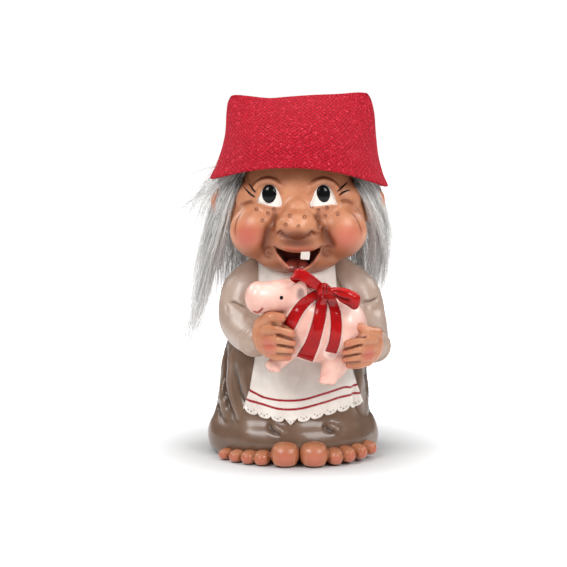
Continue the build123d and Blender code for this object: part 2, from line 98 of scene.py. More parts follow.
@dataclass(frozen=True)
class Colour:
    """A colour as it is read off a paint card, from 0 to 255 a channel."""

    red: float
    green: float
    blue: float

    def rgba(self) -> tuple[float, float, float, float]:
        """The colour as light.

        Returns:
            Red, green and blue from 0 to 1, and full alpha.
        """
        channels = []
        for value in (self.red, self.green, self.blue):
            share = value / 255
            channels.append(share / 12.92 if share <= 0.04045 else ((share + 0.055) / 1.055) ** 2.4)
        return (*channels, 1.0)


class Board:
    """The nodes of a finish, with short calls that place and join them."""

    def __init__(self, name: str, all_round: bool = False) -> None:
        """Starts an empty material, or a world's light.

        Args:
            name: The name of the material or the world.
            all_round: Whether it is a world's light.
        """
        holders = bpy.data.worlds if all_round else bpy.data.materials
        shader, output = ("Background", "OutputWorld") if all_round else ("BsdfPrincipled", "OutputMaterial")
        self.material = holders.new(name)
        self.material.use_nodes = True
        self.tree = self.material.node_tree
        self.tree.nodes.clear()
        self.shader = self.node(f"ShaderNode{shader}")
        self.join(self.shader.outputs[0], self.node(f"ShaderNode{output}").inputs["Surface"])

    def node(self, kind: str, **settings: object) -> bpy.types.Node:
        """Adds a node and sets its properties.

        Args:
            kind: The node's type.
            settings: Property values by name.

        Returns:
            The new node.
        """
        made = self.tree.nodes.new(kind)
        for key, value in settings.items():
            setattr(made, key, value)
        return made

    def join(self, source: Socket, target: Socket) -> None:
        """Joins an output to an input."""
        self.tree.links.new(source, target)

    def value(self, target: Socket, given: object) -> None:
        """Sets an input to a number or a colour, or joins it to an output.

        Args:
            target: The input.
            given: A number, a colour or an output.
        """
        if isinstance(given, Socket):
            self.join(given, target)
        elif isinstance(given, Colour):
            target.default_value = given.rgba()
        else:
            target.default_value = given

    def place(self) -> Socket:
        """The place on the piece, in metres of the frame."""
        return self.node("ShaderNodeTexCoord").outputs["Object"]

    def mask(self, name: str) -> Socket:
        """A layer that was painted on the mesh's points."""
        return self.node("ShaderNodeAttribute", attribute_name=name).outputs["Fac"]

    def sums(self, kind: str, *values: object, clamp: bool = False) -> Socket:
        """Works out one sum.

        Args:
            kind: The operation.
            values: The numbers or outputs that it takes, in order.
            clamp: Whether the result stays from 0 to 1.

        Returns:
            The result.
        """
        made = self.node("ShaderNodeMath", operation=kind, use_clamp=clamp)
        for target, given in zip(made.inputs, values):
            self.value(target, given)
        return made.outputs[0]

    def blend(self, share: object, first: object, second: object) -> Socket:
        """Mixes two colours.

        Args:
            share: How much of the second colour shows.
            first: The colour below.
            second: The colour above.

        Returns:
            The mixed colour.
        """
        made = self.node("ShaderNodeMix", data_type="RGBA")
        self.value(made.inputs["Factor"], share)
        self.value(made.inputs[6], first)
        self.value(made.inputs[7], second)
        return made.outputs[2]

    def ramp(self, share: object, low: float, high: float) -> Socket:
        """Turns a value into a share that rises from low to high.

        Args:
            share: The value.
            low: Where the share is 0.
            high: Where it is 1.

        Returns:
            The share.
        """
        made = self.node("ShaderNodeMapRange", clamp=True)
        self.value(made.inputs["Value"], share)
        made.inputs["From Min"].default_value = low
        made.inputs["From Max"].default_value = high
        return made.outputs["Result"]

    def noise(self, size: float, detail: float) -> Socket:
        """Soft noise from 0 to 1.

        Args:
            size: The size of its patches in millimetres.
            detail: How many finer layers it has.

        Returns:
            The noise.
        """
        made = self.node("ShaderNodeTexNoise")
        made.inputs["Scale"].default_value = 1 / (size * MM)
        made.inputs["Detail"].default_value = detail
        self.join(self.place(), made.inputs["Vector"])
        return made.outputs["Fac"]

    def bump(self, height: object, depth: float, strength: float = 1.0, over: object = None) -> Socket:
        """Small relief from a height.

        Args:
            height: The height, from 0 to 1.
            depth: The relief's depth in millimetres.
            strength: How much of it is used.
            over: The relief that it is added to.

        Returns:
            The normal.
        """
        made = self.node("ShaderNodeBump")
        made.inputs["Distance"].default_value = depth * MM
        made.inputs["Strength"].default_value = strength
        self.value(made.inputs["Height"], height)
        if over is not None:
            self.join(over, made.inputs["Normal"])
        return made.outputs["Normal"]

    def finish(self, values: dict[str, object]) -> Finish:
        """Sets the shader's inputs and hands the finish over.

        Args:
            values: A number, a colour or an output for each input's name.

        Returns:
            The material or the world.
        """
        for name, given in values.items():
            self.value(self.shader.inputs[name], given)
        return self.material


@dataclass(frozen=True)
class Layer:
    """A painted layer: where a mask is, this colour covers what is below."""

    mask: str
    colour: Colour
    strength: float = 1.0


@dataclass(frozen=True)
class CastPaint:
    """Brushed paint on a casting, with a wash layer in its hollows that also holds painted shade, and clear
    gloss over all.

    Args:
        name: The finish's name.
        colour: The main colour.
        tint: The colour of its lighter, warmer patches.
        layers: The masks that are painted over it, the lowest first.
        roughness: The paint's roughness.
        gloss: How much clear coat lies on it.
        patch: The size of the paint's patches in millimetres.
        grain: The size of its fine grain in millimetres.
        relief: The depth of that grain in millimetres.
        haze: The roughness of the clear coat.
        shine: The paint's own specular level below the coat.
    """

    name: str
    colour: Colour
    tint: Colour
    layers: tuple[Layer, ...] = ()
    roughness: float = 0.42
    gloss: float = 0.5
    patch: float = 7.0
    grain: float = 0.9
    relief: float = 0.035
    haze: float = 0.13
    shine: float = 0.3

    def material(self) -> Finish:
        """Makes the material.

        Returns:
            The new material.
        """
        board = Board(self.name)
        patches = board.ramp(board.noise(self.patch, 4.0), 0.35, 0.68)
        colour = board.blend(patches, self.colour, self.tint)
        for layer in self.layers:
            share = board.sums("MULTIPLY", board.mask(layer.mask), layer.strength, clamp=True)
            colour = board.blend(share, colour, layer.colour)
        uneven = board.noise(self.patch / 2, 3.0)
        spread = 0.22
        fine = board.bump(board.noise(self.grain, 2.0), self.relief)
        wide = board.bump(board.noise(self.grain * 4, 2.0), self.relief * 3, 0.6, over=fine)
        return board.finish(
            {
                "Base Color": colour,
                "Roughness": board.sums("MULTIPLY_ADD", uneven, spread, self.roughness - spread / 2),
                "Specular IOR Level": self.shine,
                "Coat Weight": self.gloss,
                "Coat Roughness": self.haze,
                "Normal": wide,
            }
        )


# Modelling tools


def smooth_path(points: Sequence[Sequence[float]], steps: int = 8, closed: bool = False) -> Array:
    """A smooth line through given points.

    Args:
        points: The points, in two or three sizes each.
        steps: How many steps lie between two points.
        closed: Whether the line runs back to its start.

    Returns:
        The points of the line.
    """
    given = np.asarray(points, float)
    if closed:
        given = np.vstack([given[-1], given, given[0], given[1]])
    else:
        given = np.vstack([2 * given[0] - given[1], given, 2 * given[-1] - given[-2]])
    line = []
    for a, b, c, d in zip(given, given[1:], given[2:], given[3:]):
        for t in np.linspace(0, 1, steps, endpoint=False):
            curved = (2 * a - 5 * b + 4 * c - d) * t * t + (3 * b - a - 3 * c + d) * t**3
            line.append(0.5 * (2 * b + (c - a) * t + curved))
    if not closed:
        line.append(given[-2])
    return np.array(line)


def to_line(places: Array, line: Array) -> tuple[Array, Array]:
    """How far each place is from a line, and how far along it the nearest point lies.

    Args:
        places: The places.
        line: The points of the line.

    Returns:
        The distances, and the shares of the line's length.
    """
    best = np.full(len(places), 1e9)
    along = np.zeros(len(places))
    lengths = np.linalg.norm(np.diff(line, axis=0), axis=1)
    total = lengths.sum()
    passed = 0.0
    for start, end, length in zip(line, line[1:], lengths):
        way = end - start
        share = np.clip((places - start) @ way / max(length * length, 1e-9), 0, 1)
        gap = np.linalg.norm(places - start - share[:, None] * way, axis=1)
        closer = gap < best
        best[closer] = gap[closer]
        along[closer] = (passed + share[closer] * length) / total
        passed += length
    return best, along


def in_outline(places: Array, outline: Array) -> Array:
    """Which flat places lie inside a closed outline.

    Args:
        places: The flat places.
        outline: The outline's points.

    Returns:
        Whether each place is inside.
    """
    inside = np.zeros(len(places), bool)
    for a, b in zip(outline, np.roll(outline, -1, axis=0)):
        spans = (a[1] > places[:, 1]) != (b[1] > places[:, 1])
        rise = b[1] - a[1]
        cross = a[0] + (places[:, 1] - a[1]) * (b[0] - a[0]) / (rise if abs(rise) > 1e-9 else 1e-9)
        inside ^= spans & (places[:, 0] < cross)
    return inside


def eased(share: Array) -> Array:
    """A share from 0 to 1 that starts and ends softly."""
    held = np.clip(share, 0, 1)
    return held * held * (3 - 2 * held)


def hump(gaps: Array, width: float) -> Array:
    """A soft hump that is 1 where the gap is nothing and fades over its half width."""
    return np.exp(-((gaps / width) ** 2))


def rounded(rim: Array) -> Array:
    """The rise of a quarter-round edge, for shares of the way in from its rim."""
    return np.sqrt(np.clip(1 - (1 - np.clip(rim, 0, 1)) ** 2, 0, 1))


def middle_x(points: Sequence[Flat]) -> float:
    """The middle of flat points across."""
    return sum(point[0] for point in points) / len(points)


def mesh_of(bm: bmesh.types.BMesh, name: str) -> Mesh:
    """A new mesh from a bmesh, which is used up.

    Args:
        bm: The bmesh.
        name: The mesh's name.

    Returns:
        The mesh.
    """
    mesh = bpy.data.meshes.new(name)
    bm.to_mesh(mesh)
    bm.free()
    return mesh


def placed(name: str, data: bpy.types.ID) -> Piece:
    """A new object in the scene that holds some data.

    Args:
        name: The object's name.
        data: Its mesh, curve, camera or lamp.

    Returns:
        The object.
    """
    made = bpy.data.objects.new(name, data)
    bpy.context.scene.collection.objects.link(made)
    return made


def baked(holder: Piece) -> Mesh:
    """The mesh of a short-lived object with its modifiers or bevel worked out.

    Args:
        holder: The object, which is used up.

    Returns:
        The mesh.
    """
    bpy.context.view_layer.update()
    graph = bpy.context.evaluated_depsgraph_get()
    made = bpy.data.meshes.new_from_object(holder.evaluated_get(graph))
    bpy.data.batch_remove([holder, holder.data])
    return made


class Clay:
    """A lump of rounded forms in millimetres, which is fused into one skin."""

    def __init__(self) -> None:
        """Starts with nothing."""
        self.bm = bmesh.new()

    def ball(
        self, centre: Point, radii: Point, turn: Point = (0, 0, 0), detail: int = 5, square: float = 0
    ) -> None:
        """Adds an egg-shaped form.

        Args:
            centre: Its centre.
            radii: Its half sizes.
            turn: Its turn about X, Y and Z in degrees.
            detail: How finely it is divided.
            square: How far its round sections are squared off, from 0 to 1.
        """
        made = bmesh.ops.create_icosphere(self.bm, subdivisions=detail, radius=1.0)
        for vert in made["verts"] if square else ():
            most = max(abs(value) for value in vert.co)
            vert.co = vert.co.lerp(vert.co / most, square * 0.4)
        turned = Euler([math.radians(angle) for angle in turn]).to_matrix().to_4x4()
        place = Matrix.Translation(centre) @ turned @ Matrix.Diagonal((*radii, 1.0))
        bmesh.ops.transform(self.bm, matrix=place, verts=made["verts"])

    def rod(self, points: Sequence[Point], radii: Sequence[float], steps: int) -> None:
        """Adds a round-ended form that follows a smooth line, as a row of overlapping balls.

        Args:
            points: The line's points.
            radii: The radius at each point.
            steps: How many balls lie between two points.
        """
        line = smooth_path(points, steps)
        sizes = np.interp(np.linspace(0, len(radii) - 1, len(line)), range(len(radii)), radii)
        for place, size in zip(line, sizes):
            self.ball(tuple(place), (size, size, size), detail=3)

    def skin(self, grain: float, rounds: int = 0) -> Skin:
        """Fuses the forms into one even skin.

        Args:
            grain: The size of the skin's faces.
            rounds: How often it is smoothed.

        Returns:
            The skin, ready to be worked.
        """
        work = placed("work", mesh_of(self.bm, "work"))
        fused = work.modifiers.new("fuse", "REMESH")
        fused.mode = "VOXEL"
        fused.voxel_size = grain
        made = Skin(baked(work))
        made.soften(rounds)
        return made


class Skin:
    """A mesh whose points are pushed, grooved and painted like a modeller's clay."""

    def __init__(self, mesh: Mesh) -> None:
        """Reads the mesh.

        Args:
            mesh: The mesh in millimetres.
        """
        self.mesh = mesh
        self.paint: dict[str, Array] = {}
        self.read()

    def read(self) -> None:
        """Takes the points and edges from the mesh."""
        count = len(self.mesh.vertices)
        flat = np.empty(count * 3)
        self.mesh.vertices.foreach_get("co", flat)
        self.place = flat.reshape(count, 3)
        ends = np.empty(len(self.mesh.edges) * 2, int)
        self.mesh.edges.foreach_get("vertices", ends)
        self.edges = ends.reshape(-1, 2)
        self.turned()

    def turned(self) -> None:
        """Writes the points back and works out which way each one faces."""
        self.mesh.vertices.foreach_set("co", self.place.ravel())
        self.mesh.update()
        flat = np.empty(len(self.place) * 3)
        self.mesh.vertex_normals.foreach_get("vector", flat)
        self.facing = flat.reshape(-1, 3)

    def refine(self, wanted: Callable[[Vector], bool]) -> None:
        """Divides some faces, so that finer tools can be used there.

        Args:
            wanted: Whether the face with this middle is divided.
        """
        self.turned()
        bm = bmesh.new()
        bm.from_mesh(self.mesh)
        faces = [face for face in bm.faces if wanted(face.calc_center_median())]
        edges = {edge for face in faces for edge in face.edges}
        bmesh.ops.subdivide_edges(bm, edges=list(edges), cuts=1, use_grid_fill=True)
        bm.to_mesh(self.mesh)
        bm.free()
        self.read()

    def cover(self, name: str, share: Array) -> None:
        """Adds paint to a layer, which is empty at first and never more than full."""
        before = self.paint.get(name, 0.0)
        self.paint[name] = np.clip(np.maximum(before, share), 0, 1)

    def cover_part(self, name: str, picked: Array, share: Array) -> None:
        """Adds paint to a layer at the picked points only.

        Args:
            name: The layer.
            picked: The points' numbers.
            share: The paint at each of them.
        """
        full = np.zeros(len(self.place))
        full[picked] = share
        self.cover(name, full)

    def tint(self, name: str, centre: Point, radii: Point, strength: float) -> None:
        """Adds paint to a layer in a soft egg-shaped reach."""
        self.cover(name, self.near(centre, radii) * strength)

    def outwards(self, wrong: bool) -> None:
        """Turns the skin's outside round where it is the wrong way.

        Args:
            wrong: Whether its faces point inwards.
        """
        if wrong:
            self.mesh.flip_normals()
            self.turned()

    def sink(self, picked: Array, depth: Array) -> None:
        """Presses the picked points in, or raises them where the depth is negative."""
        self.place[picked] -= depth[:, None] * self.facing[picked]

    def soften(self, rounds: int, where: Array | None = None) -> None:
        """Smooths the skin a number of times, by a share at each point where one is given."""
        self.place = self.averaged(rounds, where)
        self.turned()

    def averaged(self, rounds: int, where: Array | None = None) -> Array:
        """The points as they would be after smoothing.

        Args:
            rounds: How often each point moves half way to the middle of its neighbours.
            where: The share of that move at each point.

        Returns:
            The points' places.
        """
        first, second = self.edges[:, 0], self.edges[:, 1]
        count = len(self.place)
        degree = np.bincount(first, minlength=count) + np.bincount(second, minlength=count)
        degree = np.maximum(degree, 1)[:, None]
        moved = self.place.copy()
        strength = 0.5 if where is None else 0.5 * where[:, None]
        for _ in range(rounds):
            total = np.empty_like(moved)
            for axis in range(3):
                total[:, axis] = np.bincount(first, moved[second, axis], count)
                total[:, axis] += np.bincount(second, moved[first, axis], count)
            moved += (total / degree - moved) * strength
        return moved

    def near(self, centre: Point, radii: Point) -> Array:
        """How much each point lies within a soft egg-shaped reach."""
        apart = (self.place - np.array(centre)) / np.array(radii)
        return np.clip(1 - (apart * apart).sum(axis=1), 0, 1) ** 2

    def swell(self, centre: Point, radii: Point, height: float) -> None:
        """Raises what is near, or presses it in if the height is negative."""
        self.place += (self.near(centre, radii) * height)[:, None] * self.facing

    def front(self, line: Array, back: float = 0.0) -> tuple[Array, Array, Array]:
        """Distances on the front of the piece to a line that is drawn on its front view.

        Args:
            line: The line in X and Z.
            back: No point behind this Y is reached.

        Returns:
            The points that are reached, their distances and how far along the line they are.
        """
        reach = np.array([np.min(line, axis=0) - 8, np.max(line, axis=0) + 8])
        flat = self.place[:, [0, 2]]
        close = np.all((flat > reach[0]) & (flat < reach[1]), axis=1)
        picked = np.nonzero(close & (self.place[:, 1] < back) & (self.facing[:, 1] < 0.25))[0]
        gaps, along = to_line(flat[picked], line)
        return picked, gaps, along

    def about(self, x: float, z: float, back: float) -> tuple[Array, Array]:
        """The front's points round one spot before a Y, and their distances to it."""
        return self.front(np.array([(x - 0.01, z), (x + 0.01, z)]), back)[:2]

    def groove(
        self,
        points: Sequence[Flat],
        width: float,
        depth: float,
        wash: float,
        wash_width: float = 1.0,
        layer: str = "wash",
        ends: float = 0.18,
        back: float = 0.0,
    ) -> None:
        """Draws a groove on the front view, or a ridge if the depth is negative, and paints along it in a
        layer, by default the wash layer with its painted shade.

        Args:
            points: The line in X and Z.
            width: The groove's half width.
            depth: Its depth.
            wash: How strongly the paint lies along it.
            wash_width: The paint's half width, as a share of the groove's.
            layer: The painted layer along it.
            ends: The share of the length over which each end fades.
            back: No point behind this Y is reached.
        """
        reached = self.front(smooth_path(points), back)
        self.carve(reached, width, depth, ends, {layer: wash}, wash_width)

    def carve(
        self,
        reached: tuple[Array, Array, Array],
        width: float,
        depth: float,
        ends: float,
        paints: dict[str, float],
        paint_width: float,
    ) -> None:
        """Presses in what a line reaches, or raises it if the depth is negative, and paints it.

        Args:
            reached: The points, their distances and how far along the line they are.
            width: The groove's half width.
            depth: Its depth.
            ends: The share of the length over which each end fades.
            paints: The strength of the paint on each layer.
            paint_width: The paint's half width, as a share of the groove's.
        """
        picked, gaps, along = reached
        fade = eased(np.minimum(along, 1 - along) / ends) if ends > 0 else np.ones(len(along))
        self.sink(picked, hump(gaps, width) * fade * depth)
        for layer, strength in paints.items():
            if strength > 0:
                self.cover_part(layer, picked, hump(gaps, width * paint_width) * fade * strength)

    def inset(
        self, outline: Sequence[Flat], depth: float, edge: float, layer: str, back: float = 0.0
    ) -> Array:
        """Sinks the inside of an outline that is drawn on the front view, with a crisp edge.

        Args:
            outline: The closed outline in X and Z.
            depth: How far its inside moves back.
            edge: The width of the wall round it.
            layer: The painted layer that fills it.
            back: No point behind this Y is reached.

        Returns:
            How deep each point lies inside the outline, negative outside it.
        """
        line = smooth_path(outline, closed=True)
        picked, gaps, _ = self.front(line, back)
        sign = np.where(in_outline(self.place[picked][:, [0, 2]], line), 1.0, -1.0)
        depths = np.full(len(self.place), -1e3)
        depths[picked] = gaps * sign
        self.place[:, 1] += eased(depths / edge + 0.5) * depth
        self.cover(layer, eased(depths / 0.35 + 0.5))
        return depths

    def hollows(self, rounds: int, scale: float, most: float = 1.0, low: float = 0.0) -> None:
        """Darkens whatever lies lower than its surroundings, in the wash layer: the paint that settles there
        together with painted shade.

        Args:
            rounds: How wide the surroundings are.
            scale: The depth that takes the full darkening.
            most: The strongest darkening.
            low: The depth below which none is left.
        """
        self.turned()
        depth = ((self.averaged(rounds) - self.place) * self.facing).sum(axis=1)
        self.cover("wash", np.clip((depth - low) / scale, 0, 1) * most)

    def piece(self, name: str) -> Piece:
        """Hands the finished piece over in metres, with its painted layers."""
        self.turned()
        return shown(name, self.mesh, self.paint)


def shown(name: str, mesh: Mesh, layers: dict[str, Array] | None = None) -> Piece:
    """A smooth-shaded object at the origin that holds a finished mesh.

    Args:
        name: The piece's name.
        mesh: The mesh in millimetres, which is turned into metres.
        layers: The painted layers on its points.

    Returns:
        The new object.
    """
    for layer, values in (layers or {}).items():
        made = mesh.attributes.new(layer, "FLOAT", "POINT")
        made.data.foreach_set("value", values.astype(np.float32))
    mesh.transform(Matrix.Scale(MM, 4))
    mesh.name = name
    mesh.materials.clear()
    mesh.shade_smooth()
    return placed(name, mesh)


def dress(piece: Piece, finish: Finish, slot: str, *nodes: str, body: str = FIGURE) -> Piece:
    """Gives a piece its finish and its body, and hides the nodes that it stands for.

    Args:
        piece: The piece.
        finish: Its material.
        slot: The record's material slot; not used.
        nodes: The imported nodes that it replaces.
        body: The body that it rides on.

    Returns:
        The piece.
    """
    piece.data.materials.append(finish)
    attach(piece, body)
    names = list(nodes)
    if names:
        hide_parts(*names)
    stands_for = ", ".join(names) or "itself"
    log.info("%s: %d faces on %s, for %s", piece.name, len(piece.data.polygons), body, stands_for)
    return piece


# The head


SKIN = CastPaint(
    "skin",
    Colour(188, 120, 85),
    Colour(207, 142, 104),
    (
        # Painted light in the skin: the tan layer is an even brown on the hands and feet and painted shade on
        # the face, the lip layer is a painted highlight along the lower rim of the mouth, and the wash layer
        # also holds painted shade.
        Layer("tan", Colour(140, 78, 46), 0.95),
        Layer("blush", Colour(196, 84, 76), 0.8),
        Layer("wash", Colour(100, 46, 20), 0.95),
        Layer("lip_highlight", Colour(214, 132, 108), 0.8),
        Layer("mouth", Colour(92, 28, 20), 1.0),
        Layer("white", Colour(250, 242, 234), 1.0),
    ),
    roughness=0.42,
    gloss=0.45,
    haze=0.32,
)
EYE_WHITE = CastPaint("eye_white", Colour(248, 240, 232), Colour(252, 245, 238), (), 0.4, 0.5)
PUPIL = CastPaint(
    "pupil", Colour(3, 3, 4), Colour(6, 6, 7), (), 0.7, 0.5, relief=0.002, haze=0.04, shine=0.05
)
TOOTH = CastPaint("tooth", Colour(232, 224, 214), Colour(242, 236, 228), (), 0.25, 0.8)
TONGUE = CastPaint(
    "tongue", Colour(118, 42, 32), Colour(136, 56, 44), (Layer("wash", Colour(60, 14, 12)),), 0.4, 0.4
)
LASH = CastPaint("lash", Colour(18, 10, 8), Colour(24, 14, 12), (), 0.6, 0.2, relief=0.004, shine=0.1)


@dataclass
class Head:
    """The head: a round egg with cheeks, a broad nose, lids and an open smile, and what is set in it."""

    middle: float = 0.4
    equator: float = 92.5
    half_width: float = 26.6
    half_depth: float = 24.2
    below: float = 20.6
    above: float = 37.0
    grain: float = 0.52
    eye_outlines: dict[Side, list[Flat]] = field(
        default_factory=lambda: {
            Side.LEFT: [
                (-10.9, 107.5), (-12.6, 106.8), (-13.8, 105.2), (-14.5, 103.4), (-15.5, 101.6), (-15, 100.5),
                (-12.4, 99.7), (-9.4, 99.1), (-6.8, 99.1), (-6.0, 100.6), (-6.9, 103.8), (-8.6, 106.6),
            ],
            Side.RIGHT: [
                (9.8, 107.5), (8.0, 106.7), (6.6, 104.8), (5.6, 102.2), (4.6, 100.0), (6.2, 99.2),
                (9.2, 99.4), (12.4, 99.7), (15.2, 99.9), (14.6, 101.8), (13.3, 104.8), (11.8, 106.8),
            ],
        }
    )
    lids: dict[Side, list[Flat]] = field(
        default_factory=lambda: {
            Side.LEFT: [
                (-6.2, 105.6), (-8.2, 108.1), (-11.2, 109.2), (-14.4, 108.2), (-16.4, 105.6), (-16.9, 102.6),
            ],
            Side.RIGHT: [
                (4.6, 105.4), (6.6, 107.9), (9.6, 109.1), (12.8, 108.2), (15.0, 105.9), (16.3, 103.0),
            ],
        }
    )
    pupils: dict[Side, Flat] = field(
        default_factory=lambda: {Side.LEFT: (-10.9, 103.9), Side.RIGHT: (9.75, 103.9)}
    )
    pupil_radii: Point = (2.85, 1.3, 3.5)
    white_y: float = -15.9
    pupil_y: float = -20.6
    mouth: tuple[Flat, ...] = (
        (-8.0, 82.9), (-5.4, 82.1), (-2.4, 81.5), (0.6, 81.3), (3.6, 81.5), (6.2, 82.2), (8.4, 83.0),
        (7.7, 80.9), (5.9, 78.1), (3.4, 75.9), (0.4, 75.0), (-2.6, 75.8), (-5.2, 78.0), (-7.2, 80.8),
    )
    lashes: tuple[tuple[Flat, ...], ...] = (
        ((-16.4, 102.6), (-18.4, 103.9), (-20.9, 106.4)),
        ((-16.2, 104.4), (-17.4, 105.8), (-18.8, 107.6)),
        ((15.3, 104.9), (17.4, 106.4), (19.3, 108.0)),
        ((16.0, 103.4), (18.2, 104.6), (20.6, 105.2)),
    )
    freckles: tuple[Flat, ...] = (
        (-15.8, 97.9), (-11.4, 96.6), (-13.5, 93.9), (-9.0, 98.2), (-3.0, 96.1), (2.5, 95.7), (-4.5, 92.9),
        (0.2, 92.4), (5.3, 99.3), (7.9, 97.9), (11.2, 98.7), (10.6, 95.5), (15.4, 96.2),
    )

    def egg(self, x: float, y: float, z: float) -> Point:
        """A place in the head as shares of its half sizes, seen from between its cheeks."""
        tall = self.above if z > 0 else self.below
        return (self.middle + x * self.half_width, y * self.half_depth, self.equator + z * tall)

    def lump(self) -> Skin:
        """The rough head as fused rounded forms.

        Returns:
            Its skin, not yet worked.
        """
        clay = Clay()
        made = bmesh.ops.create_icosphere(clay.bm, subdivisions=6, radius=1.0)
        for vert in made["verts"]:
            if vert.co.z > 0:
                vert.co.z *= self.above / self.below
        size = Matrix.Diagonal((self.half_width, self.half_depth, self.below, 1.0))
        place = Matrix.Translation((self.middle, 0, self.equator)) @ size
        bmesh.ops.transform(clay.bm, matrix=place, verts=made["verts"])
        for side in (-1, 1):
            clay.ball(self.egg(side * 0.57, -0.56, -0.16), (11.6, 10.6, 11.2))
            clay.ball(self.egg(side * 0.275, -0.98, -0.06), (3.1, 4.0, 2.9))
            clay.ball(self.egg(side * 0.6, -0.37, 0.24), (8.6, 8.6, 9.5))
        for centre, radii in (
            ((0, -0.5, -0.5), (18.5, 11.6, 10.2)),
            ((-0.025, -1.02, 0.0), (8.0, 8.0, 6.0)),
            ((-0.025, -1.1, -0.06), (6.4, 6.6, 4.9)),
            ((-0.02, -0.86, 0.12), (6.2, 5.8, 6.4)),
            ((0, -0.8, -0.32), (11.4, 7.4, 6.4)),
            ((0, -0.68, -0.7), (8.4, 6.6, 5.4)),
        ):
            clay.ball(self.egg(*centre), radii)
        return clay.skin(self.grain, 14)

    def sculpt(self) -> Skin:
        """Works the rough head into the face.

        Returns:
            The finished skin.
        """
        skin = self.lump()
        skin.refine(lambda place: place.y < -6 and 74 < place.z < 113)
        skin.soften(3)
        self.shape_eyes(skin)
        self.shape_nose(skin)
        self.shape_cheeks(skin)
        self.shape_mouth(skin)
        self.dot_freckles(skin)
        # Painted shade in the face's hollows.
        skin.hollows(60, 1.1, most=0.55, low=0.12)
        # The blush on the cheeks is the paint's own colour; beside the nose and at the mouth corners the skin
        # is darker, partly painted shade.
        for sign in (-1, 1):
            skin.tint("blush", (sign * 18.4, -18, 88.2), (8.8, 12, 7.6), 1.25)
            skin.tint("tan", (sign * 12.0, -25, 86.0), (5.2, 13, 11.0), 1.0)
            skin.tint("tan", (sign * 11.2, -25, 81.2), (6.6, 12, 6.4), 1.1)
            skin.tint("wash", (sign * 12.4, -25, 81.6), (4.6, 12, 5.4), 0.6)
        # Painted shadow under the nose.
        skin.tint("tan", (-0.6, -27, 85.6), (10.5, 10, 3.4), 1.1)
        skin.tint("wash", (-0.6, -27, 86.0), (9.0, 10, 2.4), 0.5)
        # Painted shade under the mouth.
        skin.tint("tan", (0, -18, 72.0), (19, 16, 5.6), 1.1)
        # Painted shadow of the cap: the forehead darkens towards its top.
        skin.cover("tan", eased((skin.place[:, 2] - 108.5) / 5) * 0.5)
        # Painted shade on every part that faces down, strongest under the nose.
        skin.turned()
        under = np.clip(-skin.facing[:, 2] - 0.12, 0, 1)
        skin.cover("tan", under * 1.1)
        skin.cover("tan", under * skin.near((-0.6, -32, 89.0), (13, 16, 10.0)) * 4.0)
        skin.cover("wash", under * skin.near((-0.6, -32, 89.0), (9.5, 12, 6.0)) * 1.4)
        skin.tint("tan", (-0.6, -34, 88.4), (8.0, 11, 4.4), 1.5)
        # Painted shade on the side of the left cheek.
        skin.tint("tan", (-19, -18, 86.0), (9, 13, 9), 0.45)
        return skin

    def shape_eyes(self, skin: Skin) -> None:
        """Raises the lids and sinks the openings of the eyes.

        Args:
            skin: The head's skin.
        """
        for side in Side:
            outline = self.eye_outlines[side]
            cx = middle_x(outline)
            skin.swell((cx, -20, 103.4), (8.8, 9, 8.6), 1.3)
            skin.groove(self.lids[side], 1.05, -1.35, wash=0, ends=0.2)
            skin.turned()
            upper = [(x + (x - cx) * 0.18, z + 1.6) for x, z in self.lids[side]]
            skin.groove(upper, 0.4, 0.35, wash=0.35, ends=0.25)
            skin.turned()
            skin.inset(outline, 1.5, 0.35, layer="white")
            skin.turned()
            rim = [(x, z - 0.35) for x, z in sorted(outline) if z < 101.5]
            skin.groove(rim, 0.5, -0.25, wash=0.0, ends=0.2)
        # Painted shadow under each upper lid, in the tan layer.
        shadow = np.zeros(len(skin.place))
        for side in Side:
            lid = [(x, z - 1.35) for x, z in self.lids[side][:-1]]
            picked, gaps, _ = skin.front(smooth_path(lid))
            shadow[picked] = np.maximum(shadow[picked], hump(gaps, 0.7) * 0.5)
        skin.cover("tan", shadow)

    def shape_nose(self, skin: Skin) -> None:
        """Marks the nose off from the cheeks and the skin above the mouth, with painted shade under and round
        it.

        Args:
            skin: The head's skin.
        """
        skin.turned()
        under = [
            (-7.9, 90.4), (-6.5, 88.9), (-4.2, 87.4), (-0.6, 86.7), (3.0, 87.4), (5.1, 88.9), (6.5, 90.4),
        ]
        # Painted shade: a dark line under the nose, with softer shade below it and on the nose's underside.
        skin.groove(under, 0.8, 1.1, wash=0.9, wash_width=0.9, ends=0.18)
        skin.groove([(x, z - 1.0) for x, z in under[1:-1]], 1.5, 0.25, wash=0.9, ends=0.3, layer="tan")
        skin.groove([(x * 0.9, z + 1.4) for x, z in under], 1.7, 0.0, wash=0.85, ends=0.2, layer="tan")
        skin.turned()
        # Painted shade in the nostrils.
        skin.groove([(-7.3, 90.0), (-6.2, 89.2)], 0.75, 0.8, wash=1.0, ends=0.5)
        skin.groove([(4.8, 89.1), (6.0, 90.0)], 0.75, 0.8, wash=1.0, ends=0.5)
        # Painted shade round the wings of the nose.
        for wing in (
            [(-8.9, 89.9), (-9.6, 92.2), (-9.1, 95.0), (-7.4, 97.2)],
            [(7.7, 89.9), (8.5, 92.2), (8.0, 95.0), (6.2, 97.2)],
        ):
            skin.groove(wing, 0.9, 0.65, wash=0.7, ends=0.3)
            skin.groove(wing, 1.7, 0.2, wash=0.8, ends=0.3, layer="tan")
        skin.turned()

